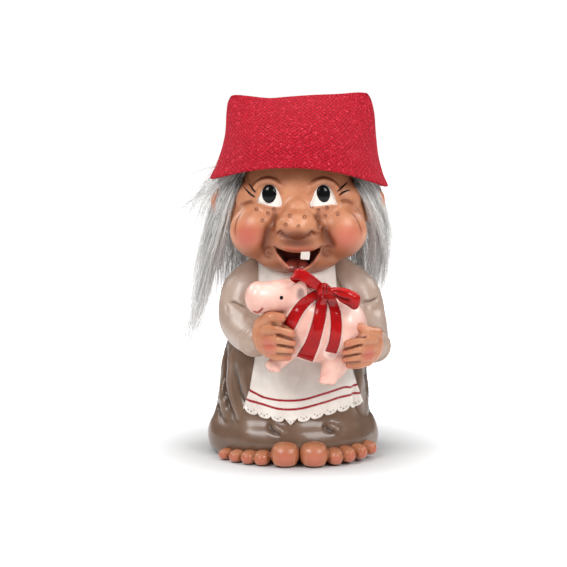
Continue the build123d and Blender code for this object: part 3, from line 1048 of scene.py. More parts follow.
    def shape_cheeks(self, skin: Skin) -> None:
        """Folds from the nose to the mouth, ringed dimples and the fine arcs round the cheeks.

        Args:
            skin: The head's skin.
        """
        left = [(-9.6, 94.4), (-10.9, 91.6), (-11.6, 88.6), (-12.5, 85.0), (-13.4, 81.6), (-13.0, 79.4)]
        right = [(8.9, 94.2), (10.3, 91.2), (11.2, 88.2), (12.4, 85.8), (13.7, 83.2), (13.6, 80.6)]
        # Painted shade in the folds from the nose to the mouth.
        for fold in (left, right):
            skin.groove(fold, 1.5, 1.1, wash=0.85, wash_width=0.9, ends=0.3)
            skin.groove([(x * 0.93, z - 0.3) for x, z in fold], 3.0, 0.3, wash=0.95, ends=0.25, layer="tan")
            skin.turned()
        for x, z in ((-10.9, 81.3), (11.6, 81.8)):
            turns = np.linspace(0.4, 2 * math.pi + 0.2, 14)[:12]
            ring = [(x + 1.9 * math.cos(turn), z + 1.9 * math.sin(turn)) for turn in turns]
            skin.groove(ring, 0.5, 0.4, wash=0.7, wash_width=1.2, ends=0.2)
            skin.groove([(x - 0.5, z + 0.3), (x + 0.3, z - 0.3)], 0.9, 0.45, wash=0.55, ends=0.0)
            skin.turned()
        arcs = (
            [(-19.2, 98.4), (-21.6, 96.6), (-23.6, 93.2), (-24.1, 89.4), (-23.0, 84.8)],
            [(17.0, 98.6), (20.4, 96.8), (23.2, 93.4), (24.6, 89.2), (24.0, 85.6)],
        )
        for arc in arcs:
            skin.groove(arc, 0.34, 0.24, wash=0.7, ends=0.4, back=4.0)
        crows = (
            [(-16.3, 101.3), (-18.6, 100.7), (-21.0, 99.9), (-22.6, 99.6)],
            [(15.9, 101.6), (18.4, 101.4), (20.6, 100.8), (22.3, 100.2)],
        )
        # Crow's feet, with painted shade in and under each line.
        for crow in crows:
            skin.groove(crow, 0.5, 0.6, wash=0.65, wash_width=0.8, ends=0.4, back=4.0)
            skin.groove([(x, z - 0.6) for x, z in crow], 1.3, 0.1, wash=0.7, back=4.0, layer="tan")
            skin.groove([(x, z - 1.5) for x, z in crow], 1.0, -0.4, wash=0, back=4.0)
        skin.turned()

    def shape_mouth(self, skin: Skin) -> None:
        """Opens the smile and rounds the lips.

        Args:
            skin: The head's skin.
        """
        depths = skin.inset(list(self.mouth), 7.0, 0.8, layer="mouth", back=-8)
        skin.turned()
        lower = [(-7.9, 81.0), (-5.9, 77.5), (-3.0, 75.1), (0.4, 74.2), (3.9, 75.1), (6.7, 77.7), (8.6, 81.0)]
        skin.groove(lower, 0.6, -0.55, wash=0, ends=0.15)
        # A painted highlight along the lower rim of the mouth.
        rim = hump(depths + 0.35, 0.4)
        skin.cover("lip_highlight", rim * np.where(skin.place[:, 2] < 81.0, 0.9, 0.0))
        # Painted shade under the mouth.
        skin.groove([(x * 1.05, z - 1.6) for x, z in lower], 1.5, 0.15, wash=0.8, ends=0.2, layer="tan")
        upper = [(-6.4, 83.9), (-2.6, 83.2), (0.6, 83.0), (3.8, 83.2), (7.0, 84.0)]
        skin.groove(upper, 1.0, -0.25, wash=0.5, layer="blush")
        corner = [((-9.6, 83.9), (-7.8, 82.8)), ((8.2, 82.9), (10.0, 84.3))]
        # Painted shade in the creases at the corners of the mouth.
        for line in corner:
            skin.groove(line, 0.5, 0.45, wash=0.9, ends=0.4)
        skin.turned()

    def dot_freckles(self, skin: Skin) -> None:
        """Presses the ringed freckles.

        Args:
            skin: The head's skin.
        """
        for x, z in self.freckles:
            picked, gaps = skin.about(x, z, -10)
            hole = hump(gaps, 0.33) * 0.28 - hump(gaps - 0.72, 0.26) * 0.14
            skin.sink(picked, hole)
            skin.cover_part("wash", picked, hump(gaps - 0.52, 0.2))
        skin.turned()

    def ear(self, side: Side) -> Skin:
        """One ear with its rolled rim.

        Args:
            side: Which ear.

        Returns:
            Its skin.
        """
        clay = Clay()
        sign = side.value
        x = self.middle + sign * 29.4
        clay.ball((x, 0.4, 98.8), (5.2, 2.6, 7.2), (0, sign * 12, 0))
        clay.ball((x - sign * 3.6, 0.8, 96.4), (4.0, 3.0, 5.0))
        skin = clay.skin(0.45, 6)
        skin.swell((x + sign * 0.2, -2.6, 99.2), (4.2, 3.2, 6.0), -1.5)
        skin.turned()
        # Painted shade in the ear's hollows.
        skin.hollows(30, 0.7, most=0.9)
        skin.tint("blush", (x + sign * 1.5, -1, 98.8), (6, 5, 8), 0.35)
        return skin

    def eye(self, side: Side) -> tuple[Skin, Skin]:
        """The white and the pupil of one eye.

        Args:
            side: Which eye.

        Returns:
            The skins of both.
        """
        turn = (-6, 0, side.value * 10)
        x = middle_x(self.eye_outlines[side])
        white = Clay()
        white.ball((x, self.white_y, 102.8), (4.8, 5.0, 5.0), turn)
        x, z = self.pupils[side]
        pupil = Clay()
        pupil.ball((x, self.pupil_y, z), self.pupil_radii, turn, detail=6)
        return white.skin(0.35), pupil.skin(0.2)

    def tooth(self) -> Skin:
        """The one tooth.

        Returns:
            Its skin.
        """
        bm = bmesh.new()
        made = bmesh.ops.create_cube(bm, size=1.0)
        place = Matrix.Translation((2.9, -24.4, 80.6)) @ Euler((0, math.radians(3), 0)).to_matrix().to_4x4()
        bmesh.ops.transform(bm, matrix=place @ Matrix.Diagonal((3.5, 1.8, 3.3, 1)), verts=made["verts"])
        bmesh.ops.bevel(
            bm, geom=bm.edges[:], offset=0.5, segments=4, affect="EDGES", profile=0.5, material=-1
        )
        bmesh.ops.subdivide_edges(bm, edges=bm.edges[:], cuts=2, use_grid_fill=True)
        return Skin(mesh_of(bm, "tooth"))

    def tongue(self) -> Skin:
        """The tongue on the floor of the mouth.

        Returns:
            Its skin.
        """
        clay = Clay()
        clay.ball((-0.4, -18.6, 76.0), (4.8, 4.2, 2.4), (30, 0, 0))
        skin = clay.skin(0.35, 3)
        # A groove down the tongue, with painted shade in it.
        skin.groove([(0.1, 75.4), (0.3, 78.4)], 0.5, 0.3, wash=0.5)
        return skin

    def build(self) -> None:
        """Makes and dresses the head and all that is set in it."""
        paint = SKIN.material()
        face = self.sculpt()
        surface = surface_of(face)
        dress(face.piece("head_cast"), paint, "skin", "head")
        for side in Side:
            word = side.word
            dress(self.ear(side).piece(f"{word}_ear_cast"), paint, "skin", f"{word}_ear")
            white, pupil = self.eye(side)
            dress(white.piece(f"{word}_eyeball"), EYE_WHITE.material(), "eye_white", f"{word}_eye_white")
            dress(pupil.piece(f"{word}_pupil_bead"), PUPIL.material(), "pupil", f"{word}_pupil")
        dress(self.tooth().piece("front_tooth"), TOOTH.material(), "tooth", "tooth")
        dress(self.tongue().piece("tongue_cast"), TONGUE.material(), "tongue", "tongue")
        black = LASH.material()
        for number, points in enumerate(self.lashes, 1):
            dress(stroke(f"lash_{number}", points, surface, 0.4, 0.25), black, "pupil")


def stroke(name: str, points: Sequence[Flat], surface: BVHTree, width: float, tip_share: float) -> Piece:
    """A brush stroke of thick paint that lies on a surface and thins towards its end.

    Args:
        name: The piece's name.
        points: Its line on the front view.
        surface: What it lies on, in millimetres.
        width: Its half width.
        tip_share: The share of the width that is left at its end.

    Returns:
        The stroke.
    """
    line = np.array([(x, touch(surface, x, z).y, z) for x, z in smooth_path(points, 6)])
    along = np.linspace(0.18, 1, len(line))
    shares = np.sin(math.pi * along) * (1 - tip_share) + tip_share
    return shown(name, tubes([(line, shares)], width, 2, caps=True))


def tubes(lines: Iterable[tuple[Array, Array]], width: float, detail: int = 0, caps: bool = False) -> Mesh:
    """Thin round lines as one mesh.

    Args:
        lines: For each line its points and the share of the width at each of them.
        width: The half width.
        detail: How finely the sections are divided.
        caps: Whether the ends are closed.

    Returns:
        The mesh, in the points' units.
    """
    curve = bpy.data.curves.new("tubes", "CURVE")
    curve.dimensions = "3D"
    curve.bevel_depth = width
    curve.bevel_resolution = detail
    curve.use_fill_caps = caps
    for points, shares in lines:
        spline = curve.splines.new("POLY")
        spline.points.add(len(points) - 1)
        flat = np.concatenate([points, np.ones((len(points), 1))], axis=1).ravel()
        spline.points.foreach_set("co", flat)
        spline.points.foreach_set("radius", shares)
    return baked(placed("tubes", curve))


# Sheets, bands and hair


def sheet_mesh(name: str, columns: int, rows: int, place: Callable[[Array, Array], Array]) -> Mesh:
    """A grid that is laid out by a formula, with a flat map from 0 to 1 both ways.

    Args:
        name: The mesh's name.
        columns: The faces across.
        rows: The faces along.
        place: Gives the places for shares across and along.

    Returns:
        The mesh, in the formula's units, with the seam of a closed form welded.
    """
    bm = bmesh.new()
    bm.loops.layers.uv.new("flat")
    bmesh.ops.create_grid(bm, x_segments=columns, y_segments=rows, size=0.5, calc_uvs=True)
    flat = np.array([vert.co[:2] for vert in bm.verts]) + 0.5
    for vert, spot in zip(bm.verts, place(flat[:, 0], flat[:, 1])):
        vert.co = spot
    bmesh.ops.remove_doubles(bm, verts=bm.verts, dist=1e-4)
    bmesh.ops.dissolve_degenerate(bm, edges=bm.edges, dist=1e-5)
    bmesh.ops.recalc_face_normals(bm, faces=bm.faces)
    return mesh_of(bm, name)


def table(rows: Sequence[Sequence[float]]) -> Array:
    """A smooth table from a few rows, whose first column rises."""
    return smooth_path(rows, 12)


def read(values: Array, at: Array, column: int) -> Array:
    """Reads one column of a smooth table."""
    return np.interp(at, values[:, 0], values[:, column])


def surface_of(skin: Skin) -> BVHTree:
    """A worked skin as something that rays can meet, in millimetres."""
    return BVHTree.FromPolygons(skin.place.tolist(), [face.vertices[:] for face in skin.mesh.polygons])


def touch(surface: BVHTree, x: float, z: float) -> Vector | None:
    """Where a look from the front first meets a surface."""
    return surface.ray_cast(Vector((x, -200, z)), Vector((0, 1, 0)))[0]


def front_of(surface: BVHTree, x: Array, z: Array, otherwise: float) -> Array:
    """The Y at which many looks from the front meet a surface, or the other value where none does."""
    hits = [touch(surface, *spot) for spot in zip(x, z)]
    return np.array([otherwise if hit is None else hit.y for hit in hits])


@dataclass(frozen=True)
class Band:
    """A ribbon whose middle follows points in space.

    Args:
        points: The middle, with the half width at each point as a fourth value.
        across: The way of its width at its start and at its end.
        half_thickness: Half its thickness.
    """

    points: tuple[tuple[float, float, float, float], ...]
    across: tuple[Point, Point]
    half_thickness: float

    def mesh(self, name: str) -> Mesh:
        """Makes the ribbon's mesh in millimetres, closed at both ends.

        Args:
            name: The mesh's name.

        Returns:
            The mesh.
        """
        line = smooth_path(self.points, 14)
        ways = np.gradient(line[:, :3], axis=0)
        ways /= np.linalg.norm(ways, axis=1)[:, None]
        shares = np.linspace(0, 1, len(line))[:, None]
        across = (1 - shares) * np.array(self.across[0]) + shares * np.array(self.across[1])
        across -= (across * ways).sum(axis=1)[:, None] * ways
        across /= np.linalg.norm(across, axis=1)[:, None]
        out = np.cross(ways, across)
        rows = len(line) + 1

        def place(u: Array, v: Array) -> Array:
            """The ribbon's places, with both ends closed to a point.

            Args:
                u: The shares across.
                v: The shares along.

            Returns:
                The places.
            """
            ring = np.clip((v * rows).round().astype(int) - 1, 0, rows - 2)
            closed = ((v > 0.5 / rows) & (v < 1 - 0.5 / rows)).astype(float)
            angle = 2 * math.pi * u
            wide = np.sign(np.cos(angle)) * np.abs(np.cos(angle)) ** 0.35 * line[ring, 3] * closed
            thick = np.sign(np.sin(angle)) * np.abs(np.sin(angle)) ** 0.6 * self.half_thickness * closed
            return line[ring, :3] + wide[:, None] * across[ring] + thick[:, None] * out[ring]

        return sheet_mesh(name, 28, rows, place)


# The dress, its apron and the sleeves


DRESS = CastPaint(
    "dress",
    Colour(99, 74, 57),
    Colour(114, 88, 70),
    # The light layer is a painted highlight on the ridges of the folds; the wash layer also holds painted
    # shade in the hollows and near the floor.
    (Layer("light", Colour(168, 144, 126), 0.5), Layer("wash", Colour(42, 27, 18), 0.9)),
    roughness=0.4,
    gloss=0.55,
    haze=0.19,
    patch=12,
    relief=0.03,
)
SLEEVE = CastPaint(
    "sleeve",
    Colour(160, 136, 121),
    Colour(178, 155, 140),
    # The light layer is a painted highlight on the shoulder and forearm; the wash layer also holds painted
    # shade in the crease and the cuff.
    (Layer("light", Colour(222, 204, 192), 0.5), Layer("wash", Colour(66, 44, 34), 0.9)),
    roughness=0.4,
    gloss=0.5,
    haze=0.26,
    patch=10,
    relief=0.03,
)
APRON = CastPaint(
    "apron",
    Colour(218, 208, 199),
    Colour(238, 230, 222),
    (
        # The wash layer also holds painted shade, the piglet's shadow among it, and the eyelet layer is dark
        # paint for the shade in the lace's holes.
        Layer("wash", Colour(120, 98, 86), 0.9),
        Layer("stripe", Colour(150, 2, 24), 1.0),
        Layer("eyelet_shade", Colour(84, 70, 62), 0.9),
    ),
    roughness=0.4,
    gloss=0.45,
    patch=9,
    relief=0.03,
)


@dataclass
class Dress:
    """The long dress: a bell with flowing folds and a rolled hem, its two sleeves and the apron."""

    height: float = 76.0
    half_width: float = 33.6
    half_depth: float = 28.6
    columns: int = 400
    rows: int = 190
    rings: tuple[tuple[float, float, float, float, float], ...] = (
        (0.0, 0.96, 0.93, -0.04, 0.0),
        (0.02, 0.995, 0.975, -0.046, 0.003),
        (0.055, 1.016, 1.03, -0.05, 0.008),
        (0.1, 1.018, 1.055, -0.054, 0.012),
        (0.15, 0.985, 1.02, -0.056, 0.018),
        (0.215, 0.918, 0.925, -0.05, 0.024),
        (0.33, 0.872, 0.87, -0.03, 0.026),
        (0.48, 0.842, 0.84, -0.01, 0.02),
        (0.64, 0.79, 0.79, 0.018, 0.012),
        (0.79, 0.69, 0.69, 0.03, 0.005),
        (0.92, 0.515, 0.5, 0.02, 0.002),
        (1.0, 0.37, 0.38, 0.01, 0.001),
    )
    hem_turn: float = 0.82
    cuff: Flat = (5.9, 6.3)
    stands_off: float = 0.15
    swept: tuple[tuple[tuple[Flat, ...], float], ...] = (
        (((-28.6, 46.0), (-28.2, 37.0), (-28.6, 29.0), (-27.6, 22.5), (-25.4, 17.5), (-22.0, 13.6)), 1.0),
        (((-24.6, 38.0), (-23.2, 30.0), (-20.6, 23.0), (-17.4, 18.4)), 0.7),
        (((-31.6, 30.0), (-32.0, 23.0), (-30.8, 17.0), (-28.0, 12.6)), 0.6),
        (((26.6, 44.0), (27.2, 34.0), (28.4, 26.0), (27.4, 19.0)), 0.7),
        (((29.6, 24.0), (30.0, 18.0), (28.4, 13.0)), 0.5),
        (((-12.0, 15.6), (-9.6, 13.0), (-5.4, 11.6)), 0.5),
        (((9.6, 15.2), (12.0, 12.8), (15.6, 12.0)), 0.5),
    )
    folds: tuple[tuple[Flat, ...], ...] = (
        ((-36, 48), (-31, 35), (-34, 24), (-27, 14)),
        ((-8, 52), (-4, 38), (-9, 26), (-3, 14)),
        ((24, 54), (29, 40), (23, 27), (29, 14)),
        ((50, 52), (56, 38), (50, 26), (58, 14)),
        ((80, 56), (86, 42), (81, 28), (88, 14)),
        ((110, 54), (114, 40), (109, 27), (117, 14)),
        ((140, 52), (146, 38), (140, 26), (148, 14)),
        ((168, 50), (174, 38), (169, 26), (177, 14)),
        ((-160, 46), (-166, 34), (-162, 23), (-169, 14)),
    )
    # Where the toes stand and how far their painted shadow reaches on the dress.
    toes: tuple[tuple[float, float, float], ...] = ()

    def bell(self, angle: Array, z: Array) -> Array:
        """The places of the dress's outside.

        Args:
            angle: The angle about the upright axis in radians, with -90 degrees at the front.
            z: The height.

        Returns:
            The places.
        """
        rings = table(self.rings)
        share = z / self.height
        wave = np.cos(9 * angle + 2.2 * share * math.pi + 0.6 * np.sin(3 * angle))
        swell = 1 + read(rings, share, 4) * wave
        x = self.half_width * (read(rings, share, 1) * np.cos(angle) * swell + read(rings, share, 3))
        y = self.half_depth * read(rings, share, 2) * np.sin(angle) * swell
        return np.stack([x, y, z], axis=1)

    def skirt(self) -> Skin:
        """The dress with its folds and rolled hem.

        Returns:
            Its skin.
        """

        def place(u: Array, v: Array) -> Array:
            """The bell's places, with a rim turned in under the hem.

            Args:
                u: The shares across.
                v: The shares along.

            Returns:
                The places.
            """
            rise = np.clip((v - 0.03) / 0.97, 0, 1) ** 1.25
            spots = self.bell(2 * math.pi * u, rise * self.height)
            inner = np.clip(1 - v / 0.03, 0, 1)[:, None]
            spots[:, :2] *= 1 - inner * (1 - self.hem_turn)
            spots[:, 2] += self.stands_off
            return spots

        skin = Skin(sheet_mesh("dress", self.columns, self.rows, place))
        skin.outwards((skin.facing[:, :2] * skin.place[:, :2]).sum() < 0)
        # Each fold has painted shade in its hollow and a painted highlight on its ridge.
        for fold in self.folds:
            degrees, heights = np.array(fold, float).T
            angles = np.radians(degrees)
            self.crease(skin, self.bell(angles, heights), 1.5, 1.1, {"wash": 0.55})
            self.crease(skin, self.bell(angles + 0.115, heights), 2.2, -0.9, {"light": 0.4})
            skin.turned()
        # The swept folds in front: painted shade in each groove and a painted highlight along each ridge.
        for line, strength in self.swept:
            skin.groove(line, 1.0, 1.35 * strength, wash=0.85, wash_width=0.9, ends=0.3, back=9)
            ridge = [(x + 2.0, z + 0.5) for x, z in line]
            skin.groove(ridge, 1.5, -1.15 * strength, wash=0.0, ends=0.3, back=9)
            skin.groove(ridge, 0.7, 0.0, wash=0.6, layer="light", ends=0.35, back=9)
            skin.turned()
        # Painted shade in the hollows.
        skin.hollows(40, 0.8, most=0.65, low=0.06)
        # Painted shadow round the toes and along the bottom of the dress where it meets the floor.
        for x, y, reach in self.toes:
            skin.tint("wash", (x, y, 1), (reach, reach, reach * 1.15), 1.1)
        skin.cover("wash", np.clip(1 - skin.place[:, 2] / 2.2, 0, 1) * 0.7)
        return skin

    @staticmethod
    def crease(skin: Skin, points: Array, width: float, depth: float, paints: dict[str, float]) -> None:
        """Presses a line that is given in space, or raises it if the depth is negative.

        Args:
            skin: The skin that is worked.
            points: The line's points.
            width: Its half width.
            depth: Its depth.
            paints: The strength of the paint on each layer.
        """
        line = smooth_path(points)
        low, high = line.min(axis=0) - 5, line.max(axis=0) + 5
        picked = np.nonzero(np.all((skin.place > low) & (skin.place < high), axis=1))[0]
        skin.carve((picked, *to_line(skin.place[picked], line)), width, depth, 0.28, paints, 0.8)

    def sleeve(self, side: Side) -> Skin:
        """One bulky sleeve, creased at the elbow, with an open cuff.

        Args:
            side: Which sleeve.

        Returns:
            Its skin.
        """
        clay = Clay()
        if side is Side.LEFT:
            arm = [(-13.5, 3, 71), (-20.2, -1, 63.5), (-22, -6.5, 54.2), (-19.4, -20, 50.2), (-16, -30.2, 49)]
            sizes = [8.2, 10.0, 9.2, 7.7, 6.3]
            crease = [(-27.8, 60.6), (-25.6, 61.0), (-22.6, 60.4), (-19.0, 58.8)]
            cuff, way = Vector((-15.8, -31.4, 48.9)), Vector((0.28, -0.95, -0.12))
        else:
            arm = [(14.5, 3, 71), (23.4, -1, 62.5), (26.4, -6.5, 51.8), (28, -18, 47), (28.6, -26.4, 46.2)]
            sizes = [8.2, 9.8, 9.3, 7.6, 6.3]
            crease = [(32.6, 62.4), (30.6, 62.0), (28.2, 61.2), (24.8, 61.2)]
            cuff, way = Vector((28.8, -27.6, 46.0)), Vector((0.05, -0.99, -0.05))
        clay.rod(arm, sizes, 7)
        turn = way.to_track_quat("Z", "X").to_euler()
        for angle in np.linspace(0, 2 * math.pi, 40, endpoint=False):
            spot = Vector((math.cos(angle) * self.cuff[0], math.sin(angle) * self.cuff[1], 0))
            spot.rotate(turn)
            clay.ball(tuple(cuff + spot), (1.0, 1.0, 1.0), detail=2)
        skin = clay.skin(0.5, 4)
        # Painted shade in the elbow crease.
        skin.groove(crease, 0.42, 0.9, wash=1.0, ends=0.3, back=8)
        skin.turned()
        skin.groove([(x, z - 1.8) for x, z in crease], 1.6, -0.6, wash=0, back=8)
        skin.turned()
        inner = skin.near(tuple(cuff + way * 1.5), (6.2, 3.4, 6.6))
        skin.place -= (inner * 1.6)[:, None] * np.array(way)
        # Painted shade in the hollows.
        skin.hollows(40, 0.9, most=0.7, low=0.05)
        x = side.value
        # Painted shade inside the cuff, and painted highlights on the shoulder and the top of the forearm.
        skin.tint("wash", tuple(cuff), (7.0, 2.2, 7.4), 1.2)
        skin.tint("light", (x * 22, -12, 68), (9, 12, 7), 0.6)
        skin.tint("light", (x * 21 + 2, -18, 54), (10, 14, 4), 0.25)
        return skin

    def apron(self, body: BVHTree) -> Skin:
        """The apron over the front of the dress, with its scalloped lace hem and two stripes.

        Args:
            body: The dress's surface.

        Returns:
            Its skin.
        """
        left = np.array([(15.0, -21.4), (20.6, -21.2), (28, -18.7), (38.4, -16.9), (52, -15.4), (80, -15.4)])
        right = np.array([(15.0, 26.4), (21.0, 26.4), (28, 24.0), (35, 22.0), (52, 17.0), (80, 14.6)])
        hem = np.array(
            [
                (-21.4, 19.6), (-15, 17.6), (-8, 16.4), (-2.6, 15.9), (5, 16.6), (14, 18.8), (21, 19.8),
                (26.4, 20.2),
            ]
        )
        pitch = 5.15
        top = 80.0

        def low_edge(x: Array) -> Array:
            """The height of the scalloped hem.

            Args:
                x: The places across.

            Returns:
                The heights.
            """
            along = (x + 2.6) / pitch + 0.5
            part = np.abs(along - np.floor(along) - 0.5) * 2
            middle = np.abs(x + 2.6) < pitch / 2
            scallop = np.where(middle, 1 - part**1.1, np.sqrt(np.clip(1 - part**2.4, 0, 1)))
            return np.interp(x, hem[:, 0], hem[:, 1]) + 1.5 - np.where(middle, 2.3, 1.75) * scallop

        def place(u: Array, v: Array) -> Array:
            """The apron's places on the dress, with a rounded edge.

            Args:
                u: The shares across.
                v: The shares along.

            Returns:
                The places.
            """
            across = np.clip((u - 0.02) / 0.96, 0, 1)
            down = np.clip((v - 0.015) / 0.97, 0, 1)
            guess = top - down * (top - 20)
            for _ in range(4):
                x = np.interp(guess, left[:, 0], left[:, 1]) * (1 - across)
                x += np.interp(guess, right[:, 0], right[:, 1]) * across
                guess = top + (low_edge(x) - top) * down**0.9
            y = front_of(body, x, np.minimum(guess, 68), 0.0) + np.clip(guess - 68, 0, None) * 0.3
            rim = np.minimum(np.minimum(across, 1 - across) / 0.018, (1 - down) / 0.012)
            lift = 1.35 * rounded(rim) - 0.15
            lift = np.where((u < 0.02) | (u > 0.98) | (v > 0.985), -0.9, lift)
            return np.stack([x, y - lift, guess], axis=1)

        skin = Skin(sheet_mesh("apron", 250, 290, place))
        skin.outwards(skin.facing[:, 1].mean() > 0)
        skin.soften(8, where=eased((skin.place[:, 2] - 22) / 6))
        stripes = (
            [
                (-19.6, 28.2), (-16.4, 26.6), (-12.4, 25.1), (-5.4, 24.6), (2.5, 24.8), (10.4, 26.8),
                (17.7, 28.6), (21.1, 28.1), (24.4, 28.5),
            ],
            [
                (-20.9, 24.4), (-13.3, 22.5), (-6.7, 21.3), (1.8, 21.5), (10.4, 23.4), (17.3, 25.1),
                (25.8, 25.0),
            ],
        )
        for stripe in stripes:
            picked, gaps, _ = skin.front(smooth_path(stripe), 5)
            skin.cover_part("stripe", picked, eased((0.44 - gaps) / 0.16 + 0.5))
        # The eyelets are shallow dimples whose dark paint stands for the shade in the lace's holes.
        for number in range(-4, 6):
            x = -2.6 + number * pitch
            z = float(low_edge(np.array([x]))[0])
            for dx, dz, size in ((0, 1.35, 0.34), (-1.1, 1.9, 0.24), (1.1, 1.9, 0.24)):
                if not -21.5 < x + dx < 26.4:
                    continue
                picked, gaps = skin.about(x + dx, z + dz, 5)
                hole = hump(gaps, size)
                skin.sink(picked, hole * 0.35)
                skin.cover_part("eyelet_shade", picked, hole * 0.9)
        flow = (
            [(-8.8, 38), (-8.6, 32), (-7.2, 28)],
            [(0.4, 40), (0.9, 34), (-0.8, 28)],
            [(12.0, 36), (13.8, 31), (15.0, 29)],
            [(-13.4, 40), (-13.8, 33), (-15.2, 29)],
        )
        # Soft folds in the apron, with painted shade in them.
        for line in flow:
            skin.groove(line, 0.8, 0.22, wash=0.22, ends=0.45, back=5)
        skin.turned()
        # Painted shade in the hollows, and the piglet's painted shadow on the apron below it.
        skin.hollows(25, 0.5, most=0.45, low=0.04)
        skin.tint("wash", (4, -30, 36), (34, 24, 15), 0.42)
        return skin

    def build(self) -> None:
        """Makes and dresses the dress, the sleeves and the apron."""
        skirt = self.skirt()
        apron = self.apron(surface_of(skirt))
        dress(skirt.piece("dress_cast"), DRESS.material(), "dress", "dress_body")
        dress(apron.piece("apron_cast"), APRON.material(), "apron", "apron")
        paint = SLEEVE.material()
        for side in Side:
            dress(self.sleeve(side).piece(f"{side.word}_sleeve_cast"), paint, "sleeve", f"{side.word}_sleeve")


# Hands and feet


@dataclass
class Limbs:
    """The two hands that hold the piglet and the two rows of bare toes."""

    palms: dict[Side, tuple[Point, Point, Point]] = field(
        default_factory=lambda: {
            Side.LEFT: ((-12.0, -35.6, 51.0), (5.3, 4.6, 7.5), (-15.6, -30.4, 49.4)),
            Side.RIGHT: ((27.6, -33.4, 47.4), (5.0, 4.7, 7.2), (28.6, -27.0, 46.2)),
        }
    )
    fingers: dict[Side, tuple[tuple[tuple[Point, ...], tuple[float, ...]], ...]] = field(
        default_factory=lambda: {
            Side.LEFT: (
                (((-14.0, -36.0, 55.6), (-10.6, -39.6, 58.8), (-6.2, -41.2, 58.8)), (2.7, 2.3, 1.9)),
                (((-11.8, -38.6, 54.0), (-7.4, -42.0, 54.6), (-2.8, -42.0, 52.9)), (2.5, 2.3, 1.85)),
                (((-11.6, -38.8, 50.4), (-7.0, -42.6, 50.6), (-2.2, -42.4, 49.4)), (2.4, 2.1, 1.7)),
                (((-11.4, -38.4, 47.2), (-7.0, -42.2, 47.1), (-2.6, -42.0, 46.4)), (2.3, 2.0, 1.65)),
                (((-11.0, -37.4, 44.9), (-7.4, -40.8, 44.0), (-3.6, -40.6, 43.8)), (2.0, 1.7, 1.4)),
            ),
            Side.RIGHT: (
                (((29.8, -34.2, 51.8), (26.6, -37.6, 53.0), (23.4, -38.8, 54.8)), (2.6, 2.2, 1.8)),
                (((27.8, -36.8, 50.2), (23.4, -40.2, 50.2), (18.8, -41.0, 48.8)), (2.5, 2.25, 1.85)),
                (((27.4, -36.9, 46.9), (22.8, -40.4, 46.8), (18.0, -41.0, 45.7)), (2.4, 2.1, 1.7)),
                (((27.0, -36.4, 43.8), (22.4, -39.7, 43.5), (17.9, -40.4, 42.8)), (2.3, 2.0, 1.6)),
                (((26.6, -35.2, 41.4), (22.8, -38.0, 40.6), (19.2, -38.8, 40.4)), (2.0, 1.7, 1.35)),
            ),
        }
    )
    toes: dict[Side, tuple[tuple[Point, Point, float], ...]] = field(
        default_factory=lambda: {
            Side.LEFT: (
                ((-4.7, -30.4, 4.5), (5.6, 7.0, 4.8), -4.0),
                ((-13.3, -28.4, 2.8), (3.2, 5.6, 2.9), -12.0),
                ((-18.3, -26.3, 2.6), (2.95, 5.4, 2.7), -20.0),
                ((-22.8, -23.2, 2.4), (2.8, 5.2, 2.5), -30.0),
                ((-26.9, -19.0, 2.2), (2.6, 4.8, 2.3), -44.0),
            ),
            Side.RIGHT: (
                ((6.2, -30.4, 4.5), (5.6, 7.0, 4.8), 4.0),
                ((14.1, -28.4, 3.3), (3.1, 5.6, 3.2), 12.0),
                ((18.9, -25.8, 3.6), (2.9, 5.4, 3.1), 22.0),
                ((23.3, -21.8, 3.8), (2.8, 5.2, 3.0), 34.0),
                ((27.2, -16.4, 4.0), (2.6, 4.8, 2.9), 48.0),
            ),
        }
    )

    def hand(self, side: Side) -> Skin:
        """One hand whose fingers curl round the piglet.

        Args:
            side: Which hand.

        Returns:
            Its skin.
        """
        centre, radii, wrist = self.palms[side]
        clay = Clay()
        clay.ball(centre, radii, (0, side.value * 6, side.value * 20))
        clay.rod([wrist, centre], [4.6, 4.6], 6)
        for points, sizes in self.fingers[side]:
            clay.rod(points, sizes, 7)
        skin = clay.skin(0.36, 5)
        # Painted shade in the gaps between the fingers.
        for first, second in zip(self.fingers[side], self.fingers[side][1:]):
            line = [((a[0] + b[0]) / 2, (a[2] + b[2]) / 2) for a, b in zip(first[0], second[0])]
            line[0] = ((line[0][0] + line[1][0] * 2) / 3, (line[0][1] + line[1][1] * 2) / 3)
            line.append((2 * line[-1][0] - line[-2][0] * 0.5 - line[-1][0] * 0.5, line[-1][1] - 0.3))
            skin.groove(line, 0.4, 0.8, wash=0.95, wash_width=1.3, ends=0.12, back=-20)
            skin.turned()
        for (_, (x, y, z), (tip_x, tip_y, tip_z)), _ in self.fingers[side]:
            skin.swell((x, y - 1.5, z), (2.4, 2.6, 2.0), 0.35)
            skin.tint("blush", (tip_x, tip_y - 1, tip_z), (2.2, 3, 2.0), 0.45)
        skin.turned()
        # The tan layer lies evenly over the whole hand here: the paint's own tone.
        skin.cover("tan", np.full(len(skin.place), 0.22))
        # Painted shade in the hollows.
        skin.hollows(30, 0.55, most=0.95, low=0.03)
        spot = (centre[0] + 1.6 * -side.value, centre[1] - 5, centre[2] - 2.6)
        skin.tint("blush", spot, (4.6, 5.5, 5.2), 0.95)
        # Painted shade where the wrist goes into the cuff.
        skin.tint("wash", wrist, (8.0, 2.6, 9.0), 0.9)
        return skin

